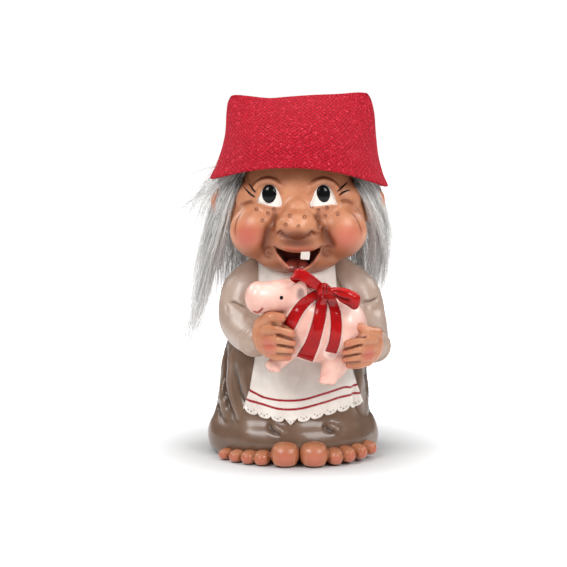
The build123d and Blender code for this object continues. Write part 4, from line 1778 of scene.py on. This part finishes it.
    def foot(self, side: Side) -> Skin:
        """The toes that show under the hem, flat where they stand.

        Args:
            side: Which foot.

        Returns:
            Their skin.
        """
        clay = Clay()
        for centre, radii, turn in self.toes[side]:
            clay.ball(centre, radii, (0, 0, turn), square=0.55)
        inner, outer = self.toes[side][0][0], self.toes[side][-1][0]
        ball = [(inner[0], -24, 3.4), ((inner[0] + outer[0]) / 2, -19, 3.2), (outer[0] * 0.84, -12, 3.0)]
        clay.rod(ball, [3.2, 3.2, 2.9], 9)
        skin = clay.skin(0.36, 3)
        # The tan layer lies evenly over the toes: the paint's own tone; then painted shade between the toes.
        skin.cover("tan", np.full(len(skin.place), 0.5))
        skin.hollows(26, 0.32)
        for centre, radii, turn in self.toes[side]:
            way = Vector((0, -radii[1] * 0.9, -0.6))
            way.rotate(Euler((0, 0, math.radians(turn))))
            tip = Vector(centre) + way
            skin.tint("blush", tuple(tip), (radii[0] * 1.1, radii[0] * 1.2, radii[2] * 1.1), 0.5)
            # Painted shade on the tops of the toes, under the hem.
            top = np.clip((skin.place[:, 2] - centre[2] - radii[2] * 0.55) / (radii[2] * 0.5), 0, 1)
            under_hem_shade = skin.near((centre[0], centre[1] + 1.5, centre[2]), (radii[0], radii[1], 8))
            skin.cover("wash", top * under_hem_shade * 0.5)
        # Painted shadow where the toes meet the floor.
        skin.place[:, 2] = np.maximum(skin.place[:, 2], 0.15)
        skin.cover("wash", np.clip(1 - skin.place[:, 2] / 0.9, 0, 1) * 0.8)
        return skin

    def build(self) -> None:
        """Makes and dresses the hands and the feet."""
        paint = replace(SKIN, name="limb_skin", roughness=0.34).material()
        for side in Side:
            dress(self.hand(side).piece(f"{side.word}_hand_cast"), paint, "skin", f"{side.word}_hand")
            dress(self.foot(side).piece(f"{side.word}_foot_cast"), paint, "skin", f"{side.word}_foot")


# The piglet and its ribbon


PIG = CastPaint(
    "pig",
    Colour(220, 166, 151),
    Colour(234, 188, 173),
    (
        # The pale layer is the unpainted edge along the ribbon and also a painted highlight on the snout and
        # the rump; the grey layer is painted shade inside the ear; the wash layer also holds painted shade.
        Layer("pale", Colour(244, 214, 202), 0.9),
        Layer("grey", Colour(166, 140, 132), 0.9),
        Layer("wash", Colour(158, 86, 80), 0.8),
        Layer("smile", Colour(142, 16, 22), 1.0),
    ),
    roughness=0.36,
    gloss=0.45,
    patch=6,
    relief=0.03,
)
RIBBON = CastPaint(
    "ribbon",
    Colour(146, 6, 10),
    Colour(172, 12, 14),
    # The light layer is a painted highlight on what faces up, and the wash layer also holds painted shade in
    # the folds, underneath and along the edges.
    (Layer("light", Colour(214, 36, 30), 0.6), Layer("wash", Colour(60, 2, 4), 0.95)),
    roughness=0.6,
    gloss=0.45,
    patch=5,
    relief=0.02,
    haze=0.08,
    shine=0.05,
)


@dataclass
class Piglet:
    """The piglet in the troll's arms, with its ribbon and bow."""

    eye: Point = (-6.2, -43.0, 66.4)
    tails: tuple[tuple[str, tuple[Point, ...]], ...] = (
        (
            "ribbon_left_tail",
            ((9.4, 69.0, 1.1), (6.6, 67.2, 1.7), (3.0, 64.9, 2.0), (-0.2, 61.2, 2.1), (-3.6, 55.2, 2.35)),
        ),
        (
            "ribbon_band",
            (
                (9.6, 68.6, 1.4), (9.0, 64.6, 2.1), (8.2, 59.6, 2.3), (6.9, 54.2, 2.4), (5.2, 48.6, 2.7),
                (3.6, 44.8, 3.0), (2.6, 42.0, 3.3),
            ),
        ),
        (
            "ribbon_right_tail",
            (
                (10.6, 68.4, 0.8), (12.4, 65.6, 1.6), (13.9, 61.0, 2.0), (14.3, 55.4, 2.1), (13.6, 49.6, 2.1),
                (12.3, 45.2, 2.2),
            ),
        ),
    )

    def body(self) -> Skin:
        """The piglet's casting.

        Returns:
            Its skin.
        """
        clay = Clay()
        clay.ball((9.2, -30.4, 53.7), (17.2, 11.4, 13.5), (0, -6, 0))
        clay.ball((17.0, -30.6, 53.0), (9.6, 11.2, 12.4))
        clay.ball((2.0, -31.6, 57.4), (10.0, 10.6, 11.4))
        snout = [(2.4, -33.6, 65.8), (-4.6, -35.0, 66.2), (-11.0, -36.4, 66.0), (-14.0, -37.2, 65.9)]
        clay.rod(snout, [6.9, 6.6, 6.0, 6.0], 8)
        clay.ball((-14.9, -37.4, 65.9), (5.0, 6.2, 6.3))
        clay.rod([(-2.0, -32.5, 47.4), (-6.0, -34.0, 42.6), (-9.4, -34.6, 39.6)], [4.6, 3.4, 2.7], 7)
        clay.ball((-10.6, -36.2, 39.9), (2.0, 2.0, 1.7), (0, 35, 0))
        clay.ball((-8.2, -36.4, 38.9), (2.0, 2.0, 1.7), (0, 35, 0))
        clay.rod([(16.6, -31.0, 45.4), (14.2, -33.0, 39.8), (11.6, -34.0, 35.2)], [6.9, 5.2, 3.3], 7)
        clay.ball((10.0, -35.6, 34.2), (2.1, 2.1, 1.8))
        clay.ball((12.8, -35.6, 34.0), (2.1, 2.1, 1.8))
        clay.ball((0.7, -40.4, 68.2), (3.1, 1.5, 4.7), (10, 14, -20))
        clay.ball((2.6, -31.0, 71.6), (2.4, 1.4, 3.0), (0, 20, -10))
        skin = clay.skin(0.42, 6)
        skin.swell((0.9, -42.2, 67.7), (2.2, 2.6, 3.5), -1.5)
        skin.turned()
        skin.groove([(-9.6, 71.4), (-8.0, 70.4), (-6.4, 70.6)], 0.8, 0.18, wash=0.1, back=-20)
        smile = [(-16.9, 61.3), (-15.7, 60.7), (-14.4, 60.9), (-12.8, 62.7)]
        skin.groove(smile, 0.42, 0.35, wash=1.2, layer="smile", ends=0.12, back=-30)
        # Painted shade in the grooves at the haunch and the front leg.
        skin.groove([(22.6, 47.0), (18.6, 44.2), (14.0, 44.6), (11.0, 42.4)], 1.1, 0.5, wash=0.5, back=-20)
        skin.groove([(-3.4, 47.4), (-2.2, 44.6), (-3.8, 41.6)], 0.8, 0.35, wash=0.4, back=-20)
        skin.turned()
        for z in (64.6, 67.6):
            skin.swell((-20.4, -38.0, z), (1.8, 1.0, 1.1), -0.8)
        skin.turned()
        # Painted shade: the hollows darken, and the inside of the ear is darkened.
        skin.hollows(36, 1.0, most=0.7, low=0.05)
        skin.tint("grey", (1.0, -42.0, 67.6), (2.3, 3.2, 3.6), 1.8)
        # Painted highlights on the top of the snout and the top of the rump.
        skin.tint("pale", (-12.5, -42, 69.0), (8, 6, 4.5), 0.9)
        skin.tint("pale", (21, -38, 60.0), (8, 8, 7), 0.9)
        # The pale unpainted edge round the ribbon ends: the piglet's own colour.
        for _, line in self.tails:
            picked, gaps, along = skin.front(smooth_path([(x, z) for x, z, _ in line]), -20)
            half = np.interp(along, np.linspace(0, 1, len(line)), [width for _, _, width in line])
            skin.cover_part("pale", picked, eased((half + 0.75 - gaps) / 0.3) * 0.95)
        return skin

    def tail(self, name: str, line: Sequence[Point], body: BVHTree) -> Skin:
        """A flat end of the ribbon that lies on the piglet.

        Args:
            name: Its node's name.
            line: Its middle on the front view, with its half width.
            body: The piglet's surface.

        Returns:
            The ribbon's end.
        """
        path = smooth_path(line, 10)
        ways = np.gradient(path[:, :2], axis=0)
        ways /= np.linalg.norm(ways, axis=1)[:, None]
        sides = np.stack([-ways[:, 1], ways[:, 0]], axis=1)

        def place(u: Array, v: Array) -> Array:
            """The strip's places on the piglet, with a rounded edge.

            Args:
                u: The shares across.
                v: The shares along.

            Returns:
                The places.
            """
            step = v * (len(path) - 1)
            across = (u - 0.5) * 2
            span = np.clip(across * 1.06, -1, 1)
            columns = np.hstack([path, sides]).T
            x, z, half, side_x, side_z = (np.interp(step, range(len(path)), values) for values in columns)
            x += side_x * half * span
            z += side_z * half * span
            y = front_of(body, x, z, -31.0)
            rim = np.minimum((1 - np.abs(span)) / 0.16, (1 - v) / 0.03)
            lift = 0.95 * rounded(rim) + 0.1
            lift = np.where((np.abs(across) > 0.97) | (v > 0.995), -0.5, lift)
            return np.stack([x, y - lift, z], axis=1)

        skin = Skin(sheet_mesh(name, 36, 130, place))
        skin.outwards(skin.facing[:, 1].mean() > 0)
        picked, gaps, along = skin.front(path[:, :2], -20)
        half = np.interp(along, np.linspace(0, 1, len(path)), path[:, 2])
        # Painted shade along the strip's rolled edges.
        skin.cover_part("wash", picked, np.clip(1 - (half - gaps) / 0.5, 0, 1) * 0.35)
        return skin

    def bow(self) -> Iterable[tuple[str, Skin]]:
        """The two loops and the knot of the bow.

        Returns:
            The name and the skin of each.
        """
        left = Band(
            (
                (9.4, -41.6, 69.8, 1.3), (6.6, -43.6, 71.8, 1.8), (3.4, -44.2, 74.0, 2.1),
                (0.4, -43.4, 75.4, 2.1), (-1.5, -41.0, 74.6, 1.9), (0.0, -39.2, 73.0, 1.7),
                (4.4, -39.2, 71.4, 1.5), (8.6, -40.4, 69.8, 1.1),
            ),
            ((-0.55, -0.1, -0.8), (-0.5, 0.25, -0.8)),
            0.6,
        )
        loop = Skin(left.mesh("bow_left_loop"))
        loop.refine(lambda place: True)
        loop.soften(2)
        pillow = Clay()
        middle = [(11.2, -42.4, 69.0), (14.4, -43.4, 68.5), (17.6, -43.6, 67.3), (20.2, -42.8, 65.9)]
        pillow.rod(middle, [1.3, 2.1, 2.9, 3.1], 9)
        pillow.ball((20.6, -43.0, 65.2), (2.3, 2.4, 3.2), (0, -12, 0))
        right = pillow.skin(0.3)
        right.place[:, 1] = -42.8 + (right.place[:, 1] + 42.8) * 0.8
        right.soften(4)
        fold = [(11.6, 68.4), (14.4, 67.0), (17.4, 66.0), (20.4, 65.6)]
        # Painted shade in the folds of the right loop.
        right.groove(fold, 0.6, 0.9, wash=0.9, ends=0.25, back=-20)
        right.groove([(12.0, 69.4), (15.0, 69.0), (18.6, 68.2)], 0.5, 0.35, wash=0.5, ends=0.3, back=-20)
        right.turned()
        # Painted shade on the underside of the right loop.
        right.cover("wash", np.clip(-right.facing[:, 2] - 0.25, 0, 1) * 0.8)
        for name, skin in (("bow_left_loop", loop), ("bow_right_loop", right)):
            # Painted shade in the hollows, and a painted highlight on whatever faces up.
            skin.hollows(20, 0.5, most=0.9, low=0.05)
            skin.cover("light", skin.facing[:, 2] * 0.7)
            yield name, skin
        clay = Clay()
        clay.ball((9.9, -43.2, 69.8), (2.1, 2.3, 2.5), (0, -18, 0))
        clay.ball((8.6, -42.8, 69.0), (1.4, 1.8, 1.9), (0, 30, 0))
        clay.ball((11.3, -42.8, 69.4), (1.4, 1.8, 2.1), (0, -25, 0))
        knot = clay.skin(0.22, 4)
        # Painted shade in the knot's folds.
        for line in ([(8.9, 71.8), (9.5, 69.8), (9.3, 67.8)], [(10.9, 71.6), (10.5, 69.8), (10.9, 67.9)]):
            knot.groove(line, 0.3, 0.3, wash=0.8, back=-20)
        knot.turned()
        yield "bow_knot", knot

    def build(self) -> None:
        """Makes and dresses the piglet and its ribbon."""
        pig = self.body()
        surface = surface_of(pig)
        paint = RIBBON.material()
        for name, line in self.tails:
            dress(self.tail(name, line, surface).piece(f"{name}_strip"), paint, "ribbon", name)
        for name, skin in self.bow():
            dress(skin.piece(f"{name}_cast"), paint, "ribbon", name)
        bead = Clay()
        x, _, z = self.eye
        bead.ball((x, touch(surface, x, z).y + 0.15, z), (0.72, 0.55, 0.78), detail=4)
        dress(bead.skin(0.12).piece("pig_eye_bead"), replace(PUPIL, name="bead").material(), "pupil")
        dress(pig.piece("pig_cast"), PIG.material(), "pig", "pig")


# The wig


@dataclass(frozen=True)
class FurFinish:
    """Long glossy fibre, silver to its tip and dark at its root, partly its own colour and partly painted
    shade under the cap.
    """

    name: str
    root: Colour
    middle: Colour
    tip: Colour
    dull: Colour = Colour(120, 113, 108)

    def material(self) -> Finish:
        """Makes the material.

        Returns:
            The new material.
        """
        board = Board(self.name)
        along, shade = board.mask("along"), board.mask("shade")
        # Darker towards the root: partly the fibre's own colour, partly painted shade under the cap.
        colour = board.blend(board.ramp(along, 0.05, 0.33), self.root, self.middle)
        colour = board.blend(board.ramp(along, 0.35, 1.0), colour, self.tip)
        dull = board.blend(shade, self.dull, colour)
        return board.finish({"Base Color": dull, "Roughness": 0.38, "Specular IOR Level": 0.5})


FUR = FurFinish("fur", Colour(66, 58, 52), Colour(246, 245, 242), Colour(254, 254, 253))


@dataclass
class Wig:
    """The fur wig: locks that leave the edge of the cap, fall behind the arms and fly out on the left."""

    head: Head
    locks: int = 560
    hairs: int = 14
    steps: int = 9
    half_width: float = 0.085
    seed: int = 12
    reach: float = 124.0
    flying: float = 0.17
    straying: float = 0.06
    thin_tip: float = 0.28
    lower_line: float = 101.0

    def root(self, angle: float, rise: float) -> Vector:
        """A place on the wig's backing.

        Args:
            angle: Its angle from the back in degrees.
            rise: Its height above the hair's lower line.

        Returns:
            The place.
        """
        turn = math.radians(angle)
        z = self.lower_line + 6.5 * min(1, (abs(angle) / 95) ** 1.6) + rise
        share = (z - self.head.equator) / (self.head.above + 2)
        reach = math.sqrt(max(0.05, 1 - share * share))
        x = self.head.middle - math.sin(turn) * (self.head.half_width + 2.2) * reach
        return Vector((x, math.cos(turn) * (self.head.half_depth + 2.6) * reach, z))

    def guide(self, rng: Chance, angle: float, root: Vector) -> tuple[Vector, Vector, Vector, bool]:
        """The course that one lock takes from its root.

        Args:
            rng: The source of chance.
            angle: The lock's angle from the back in degrees.
            root: Its root.

        Returns:
            The two places that bend it, its tip, and whether it flies out.
        """
        held = math.radians(max(-80.0, min(80.0, angle)))
        out = Vector((-math.sin(held), math.cos(held), 0))
        ear = math.exp(-(((abs(angle) - 92) / 16) ** 2))
        first = root + out * (3.6 + 4.6 * ear) + Vector((0, 0, -4.5))
        if 62 < angle < 118 and rng.random() < self.flying:
            far, drop = 12 + 16 * rng.random(), 9 + 17 * rng.random()
            tip = root + Vector((-far, 4 + 5 * rng.random(), -drop - rng.random() ** 2 * 22))
            bend = root + Vector((-far * 0.8, 3.0, -drop * 0.45))
            return root + Vector((-6.0, 0.5, -1.4)), bend, tip, True
        spread = rng.normal(0, 1)
        if angle > 58:
            z = 72 - 36 * rng.random() ** 1.3
            lean = 32 + (70 - z) * 0.42
            behind = 11 * max(0.0, 92 - angle) / 34
            tip = Vector((-lean - spread * (1.6 + (z - 40) * 0.11), 3 + behind + 6 * rng.random(), z))
            half_way = 0.55 * root.z + 0.45 * z
            bend = Vector((-34.4 - 2.4 * spread - 1.5 * ear, 2 + behind + 4 * rng.random(), half_way))
        elif angle < -58:
            z = 78 - 20 * rng.random() ** 0.9
            behind = 12 * max(0.0, 92 + angle) / 34
            tip = Vector((30.6 + 2.4 * spread, 4 + behind + 6 * rng.random(), z))
            half_way = 0.45 * root.z + 0.55 * z
            bend = Vector((37.4 + 1.5 * spread + ear, 2 + behind + 4 * rng.random(), half_way))
        else:
            z = 62 - 21 * rng.random()
            tip = Vector((root.x * 1.12, root.y, z)) + out * (5.0 + 2.0 * spread)
            bend = root.lerp(tip, 0.48) + out * (4.6 + 1.6 * rng.random())
        return first, bend, tip, False

    def lock(self, rng: Chance, number: int) -> list[Array]:
        """The lines of one lock's hairs, which draw together towards their tips.

        Args:
            rng: The source of chance.
            number: The lock's number.

        Returns:
            The lines.
        """
        angle = self.reach * (2 * (number + rng.random()) / self.locks - 1)
        root = self.root(angle, rng.random() ** 1.3 * 13)
        first, bend, tip, flies = self.guide(rng, angle, root)
        turn = math.radians(angle)
        across = np.array((math.cos(turn), math.sin(turn), 0))
        lines = []
        width = 0.8 + 0.8 * rng.random()
        draw = 0.2 + 0.5 * rng.random()
        phase = rng.random() * 2 * math.pi
        for _ in range(self.hairs):
            shift = Vector(rng.normal(0, 0.55, 3)) * width
            shift.z *= 1.8
            short = 1 - (0.55 if flies else 0.5) * rng.random() ** 1.6
            stray = Vector(rng.normal(0, 1, 3)) * (4.5 if rng.random() < self.straying else 0.8 + 0.7 * flies)
            t = np.linspace(0, short, self.steps)[:, None]
            low = bend + shift * (0.35 + 0.65 * draw) + stray * 0.3
            p, q, r, e = np.array((root + shift, first + shift, low, tip + shift * draw + stray))
            curve = (1 - t) ** 3 * p + 3 * (1 - t) ** 2 * t * q + 3 * (1 - t) * t * t * r + t**3 * e
            curve += np.sin(t * 9 + phase) * 0.6 * t * across
            lines.append(self.clear(curve))
        return lines

    def clear(self, line: Array) -> Array:
        """Keeps a hair out of the head, the shoulders and the dress.

        Args:
            line: The hair's points.

        Returns:
            Its points, moved out where they were inside.
        """
        held = line.copy()
        head = self.head
        skull = (head.half_width + 1.4, head.half_depth + 1.4, head.below + 2)
        for centre, radii in (
            ((head.middle, 0, head.equator), skull),
            ((-20.4, -3, 61), (11.8, 11.8, 16.0)),
            ((23.6, -3, 60), (12.2, 11.8, 16.0)),
            ((0.6, 0, 54), (26.6, 22.6, 28)),
        ):
            size = np.array(radii)
            if centre[2] > 80:
                size = np.where((held[:, 2] > centre[2])[:, None], size * np.array([1, 1, 1.8]), size)
            apart = (held - np.array(centre)) / size
            deep = np.linalg.norm(apart, axis=1)
            inside = deep < 1
            flat = apart.copy()
            flat[:, 2] = 0
            near = np.maximum(np.linalg.norm(flat, axis=1), 0.05)
            rim = np.sqrt(np.clip(1 - apart[:, 2] ** 2, 0, 1))
            moved = flat / near[:, None] * rim[:, None] * size + np.array(centre)
            held[inside, :2] = moved[inside, :2]
        return held

    def piece(self, name: str, hairs: list[Array], rng: Chance) -> Piece:
        """Turns hairs into one piece with the layers that its finish reads.

        Args:
            name: The piece's name.
            hairs: The hairs' points.
            rng: The source of chance.

        Returns:
            The piece.
        """
        thin = np.linspace(1.0, self.thin_tip, self.steps)
        mesh = tubes(((hair, thin * (0.8 + 0.5 * rng.random())) for hair in hairs), self.half_width)
        count = len(hairs)
        each = len(mesh.vertices) // count
        along = np.tile(np.repeat(np.linspace(0, 1, self.steps), each // self.steps), count)
        of_lock = np.repeat(rng.normal(0.82, 0.22, count // self.hairs + 1), self.hairs)[:count]
        shade = np.repeat(np.clip(of_lock + rng.normal(0, 0.2, count), 0, 1), each)
        return shown(name, mesh, {"along": along, "shade": shade})

    def build(self) -> None:
        """Grows all the locks and dresses them in a few pieces."""
        rng = np.random.default_rng(self.seed)
        names = ("hair_right", "hair_back", "hair_left")
        lines: dict[str, list[Array]] = {name: [] for name in names}
        for number in range(self.locks):
            lines[names[min(2, number * 3 // self.locks)]] += self.lock(rng, number)
        paint = FUR.material()
        most = 150 * self.hairs
        for name, hairs in lines.items():
            for start in range(0, len(hairs), most):
                piece = self.piece(f"{name}_locks_{start // most + 1}", hairs[start : start + most], rng)
                dress(piece, paint, "fur", name)


# The cap


@dataclass(frozen=True)
class WovenCloth:
    """Coarse plain-woven cotton with lighter and darker threads; the dark colour in the weave's low places is
    painted shade.
    """

    name: str
    colour: Colour
    light: Colour
    dark: Colour
    threads: tuple[float, float]

    def material(self) -> Finish:
        """Makes the material.

        Returns:
            The new material.
        """
        board = Board(self.name)
        apart = board.node("ShaderNodeSeparateXYZ")
        board.join(board.node("ShaderNodeTexCoord").outputs["UV"], apart.inputs[0])
        wobble = board.sums("MULTIPLY", board.noise(1.8, 3.0), 2.0)
        waves = []
        for socket, count in zip(apart.outputs, self.threads):
            turns = board.sums("MULTIPLY", socket, count * math.pi)
            waves.append(board.sums("SINE", board.sums("ADD", turns, wobble)))
        weave = board.sums("MULTIPLY_ADD", board.sums("MULTIPLY", *waves), 0.5, 0.5)
        speck = board.noise(0.62, 3.0)
        slub = board.noise(1.5, 4.0)
        height = board.sums("MULTIPLY_ADD", weave, 0.3, speck)
        # Painted shade: the low places of the weave take the dark colour.
        lit = board.ramp(height, 0.42, 0.9)
        colour = board.blend(lit, self.dark, self.colour)
        bright = board.sums("MULTIPLY", board.ramp(slub, 0.5, 0.72), board.ramp(speck, 0.45, 0.65))
        return board.finish(
            {
                "Base Color": board.blend(board.sums("MULTIPLY", bright, 0.75), colour, self.light),
                "Roughness": 0.88,
                "Specular IOR Level": 0.2,
                "Sheen Weight": 0.25,
                "Sheen Roughness": 0.5,
                "Sheen Tint": self.light,
                "Normal": board.bump(height, 0.32),
            }
        )


CAP_CLOTH = WovenCloth(
    "cap_cloth", Colour(194, 20, 42), Colour(234, 80, 96), Colour(118, 4, 22), threads=(190.0, 42.0)
)


@dataclass
class Cap:
    """The loose cap: one layer of stiff cloth with a flared hem and its tip folded down behind."""

    middle: float = 0.6
    profile: tuple[tuple[float, float, float, float, float], ...] = (
        (0.0, 34.9, 34.9, 28.6, 0.0),
        (0.05, 34.5, 34.4, 28.2, 0.0),
        (0.16, 33.2, 33.0, 27.2, 0.3),
        (0.34, 31.2, 31.2, 24.8, 0.8),
        (0.56, 29.6, 30.2, 19.6, 1.6),
        (0.78, 28.9, 29.8, 11.6, 2.2),
        (0.92, 28.2, 28.8, 4.6, 2.4),
        (0.985, 27.2, 27.6, 1.1, 2.4),
        (1.0, 26.6, 27.0, 0.35, 2.4),
    )
    top_line: tuple[Flat, ...] = (
        (-27.0, 141.2), (-24.5, 141.9), (-20.0, 141.6), (-14.0, 140.9), (-10.0, 140.7), (-4.0, 141.2),
        (6.0, 141.9), (16.0, 142.3), (24.0, 142.9), (28.0, 142.6),
    )
    thickness: float = 0.9
    tip_length: float = 27.5

    def hem(self, angle: Array) -> Array:
        """The height of the hem round the cap.

        Args:
            angle: The angle about the upright axis in radians, with -90 degrees at the front.

        Returns:
            The heights.
        """
        front = np.clip(-np.sin(angle), 0, 1)
        back = np.clip(np.sin(angle), 0, 1)
        side = np.cos(angle)
        return 107.9 - 1.5 * side + 6.0 * front**2.2 - 1.2 * back - 0.4 * np.cos(2 * angle)

    def place(self, u: Array, v: Array) -> Array:
        """The places of the cap's cloth, with the seam at the back.

        Args:
            u: The shares round the cap.
            v: The shares from the hem to the top.

        Returns:
            The places.
        """
        profile = table(self.profile)
        top = smooth_path(self.top_line, 6)
        angle = 2 * math.pi * u + math.pi / 2
        side = np.cos(angle)
        x = self.middle + np.where(side < 0, read(profile, v, 1), read(profile, v, 2)) * side
        y = read(profile, v, 3) * np.sin(angle) + read(profile, v, 4)
        y += 1.6 * (1 - v) * np.clip(np.sin(angle), 0, 1)
        low = self.hem(angle)
        high = read(top, x, 1)
        out = 0.4 * np.sin(5 * angle + 3 * v) * np.sin(math.pi * v)
        out += 0.22 * np.sin(11 * angle + 1.1) * (1 - v) + 0.5 * hump(v, 0.07)
        x += out * side
        y += out * np.sin(angle)
        z = low + (high - low) * v
        return np.stack([x, y, z], axis=1)

    def flap(self, u: Array, v: Array) -> Array:
        """The places of the folded tip, from the ridge to its point low on the back.

        Args:
            u: The shares across.
            v: The shares down.

        Returns:
            The places.
        """
        across = (u - 0.5) * 2
        top = smooth_path(self.top_line, 6)
        width = 24.2 * (1 - v) ** 0.9 + 1.4
        x = self.middle + across * width
        ridge = read(top, x, 1)
        z = ridge - 0.2 - v * self.tip_length + 1.4 * across**2 * v
        share = np.clip((ridge - z) / 34, 0, 1)
        profile = table(self.profile)
        depth = read(profile, 1 - share, 3)
        rim = np.sqrt(np.clip(1 - (across * width / 31.5) ** 2, 0, 1))
        away = 1.9 + 1.1 * np.sin(math.pi * np.clip(v, 0, 1)) * (1 - across**2) + 0.6 * v
        start = eased(v / 0.1)
        y = read(profile, 1 - share, 4) + depth * rim + away * start
        return np.stack([x, y, z], axis=1)

    def cloth(self, name: str, columns: int, rows: int, place: Callable, thickness: float) -> Piece:
        """A cloth piece with its thickness and its flat map.

        Args:
            name: The piece's name.
            columns: The faces across.
            rows: The faces along.
            place: Gives the places for shares across and along.
            thickness: Its thickness in millimetres.

        Returns:
            The piece.
        """
        made = shown(name, sheet_mesh(name, columns, rows, place))
        thick = made.modifiers.new("thick", "SOLIDIFY")
        thick.thickness = thickness * MM
        thick.offset = -1
        return made

    def build(self) -> None:
        """Makes and dresses the cap."""
        paint = CAP_CLOTH.material()
        shell = self.cloth("cap_shell", 260, 90, self.place, self.thickness)
        tip = self.cloth("cap_tip", 90, 60, self.flap, self.thickness * 1.6)
        dress(shell, paint, "cap_cloth", "cap", body=CAP)
        tip_paint = replace(CAP_CLOTH, name="cap_tip_cloth", threads=(70.0, 36.0)).material()
        dress(tip, tip_paint, "cap_cloth", "cap", body=CAP)


# The studio


@dataclass
class Studio:
    """A pale floor, soft lamps and the camera at the photograph's angle."""

    distance: float = 600.0
    elevation: float = 6.5
    aim_x: float = -5.4
    aim_z: float = 67.0
    width_seen: float = 226.8
    sensor: float = 36.0
    floor_grey: float = 0.9
    floor_less_seen: float = 0.35
    shadow_fades: Flat = (0.034, 0.1)
    all_round: float = 0.34
    glossy_less: float = 0.2

    def camera(self) -> None:
        """Sets the camera."""
        angle = math.radians(self.elevation)
        data = bpy.data.cameras.new("camera")
        data.sensor_width = self.sensor
        data.lens = self.sensor * self.distance / self.width_seen
        data.clip_start = 0.01
        data.clip_end = 20
        made = placed("camera", data)
        away, up = self.distance * math.cos(angle), self.distance * math.sin(angle)
        made.location = Vector((self.aim_x, -away, self.aim_z + up)) * MM
        made.rotation_euler = (math.radians(90) - angle, 0, 0)
        bpy.context.scene.camera = made

    def lamp(self, name: str, place: Point, size: float, power: float) -> None:
        """Adds a soft square lamp that faces the figure.

        Args:
            name: The lamp's name.
            place: Where it stands.
            size: Its width.
            power: Its power in watts.
        """
        data = bpy.data.lights.new(name, "AREA")
        data.shape = "SQUARE"
        data.size = size * MM
        data.energy = power
        made = placed(name, data)
        made.location = Vector(place) * MM
        aim = Vector((0, 0, 70)) - Vector(place)
        made.rotation_euler = aim.to_track_quat("-Z", "Y").to_euler()

    def world(self) -> None:
        """A plain light from all round, white to the camera."""
        board = Board("studio", all_round=True)
        rays = board.node("ShaderNodeLightPath").outputs
        plain = board.sums("MULTIPLY_ADD", rays["Is Camera Ray"], 1 - self.all_round, self.all_round)
        dimmed = board.sums("MULTIPLY_ADD", rays["Is Glossy Ray"], -self.glossy_less, plain)
        bpy.context.scene.world = board.finish({"Color": (1, 1, 1, 1), "Strength": dimmed})

    def floor(self) -> None:
        """A large pale floor that keeps the figure's soft shadow, and is darker round the figure: painted
        shade.
        """
        bm = bmesh.new()
        bmesh.ops.create_grid(bm, x_segments=1, y_segments=1, size=6.0)
        made = placed("floor", mesh_of(bm, "floor"))
        board = Board("floor")
        seen = board.node("ShaderNodeLightPath").outputs["Is Camera Ray"]
        apart = board.node("ShaderNodeVectorMath", operation="LENGTH")
        board.join(board.place(), apart.inputs[0])
        # Painted shade: near the figure the camera sees a greyer floor with no glow, so the floor darkens
        # round the feet beyond the rendered shadow.
        far = board.ramp(apart.outputs["Value"], *self.shadow_fades)
        less = board.sums("MULTIPLY", seen, self.floor_less_seen)
        paint = board.finish(
            {
                "Base Color": board.sums("SUBTRACT", self.floor_grey, less),
                "Roughness": 0.9,
                "Specular IOR Level": 0.0,
                "Emission Color": (1, 1, 1, 1),
                "Emission Strength": board.sums("MULTIPLY", seen, far),
            }
        )
        made.data.materials.append(paint)

    def build(self) -> None:
        """Sets up the whole studio."""
        self.camera()
        self.world()
        self.floor()
        self.lamp("key", (-420, -520, 600), 300, 3.5)
        self.lamp("fill", (460, -480, 520), 300, 2.8)
        self.lamp("top", (0, -40, 760), 520, 2.0)
        self.lamp("rim_left", (-480, 280, 480), 320, 1.5)
        self.lamp("rim_right", (480, 280, 480), 320, 1.3)
        bpy.context.scene.view_settings.view_transform = "Standard"


def main() -> None:
    """Builds every part of the figure and the studio round it."""
    logging.basicConfig(level=logging.INFO, format="%(message)s")
    head = Head()
    limbs = Limbs()
    # Where the toes stand, for the painted shadow round them on the dress.
    toes = tuple((x, y, radii[0] * 1.7) for side in Side for (x, y, _), radii, _ in limbs.toes[side])
    Studio().build()
    head.build()
    Dress(toes=toes).build()
    limbs.build()
    Piglet().build()
    Wig(head).build()
    Cap().build()


if __name__ == "__main__":
    main()
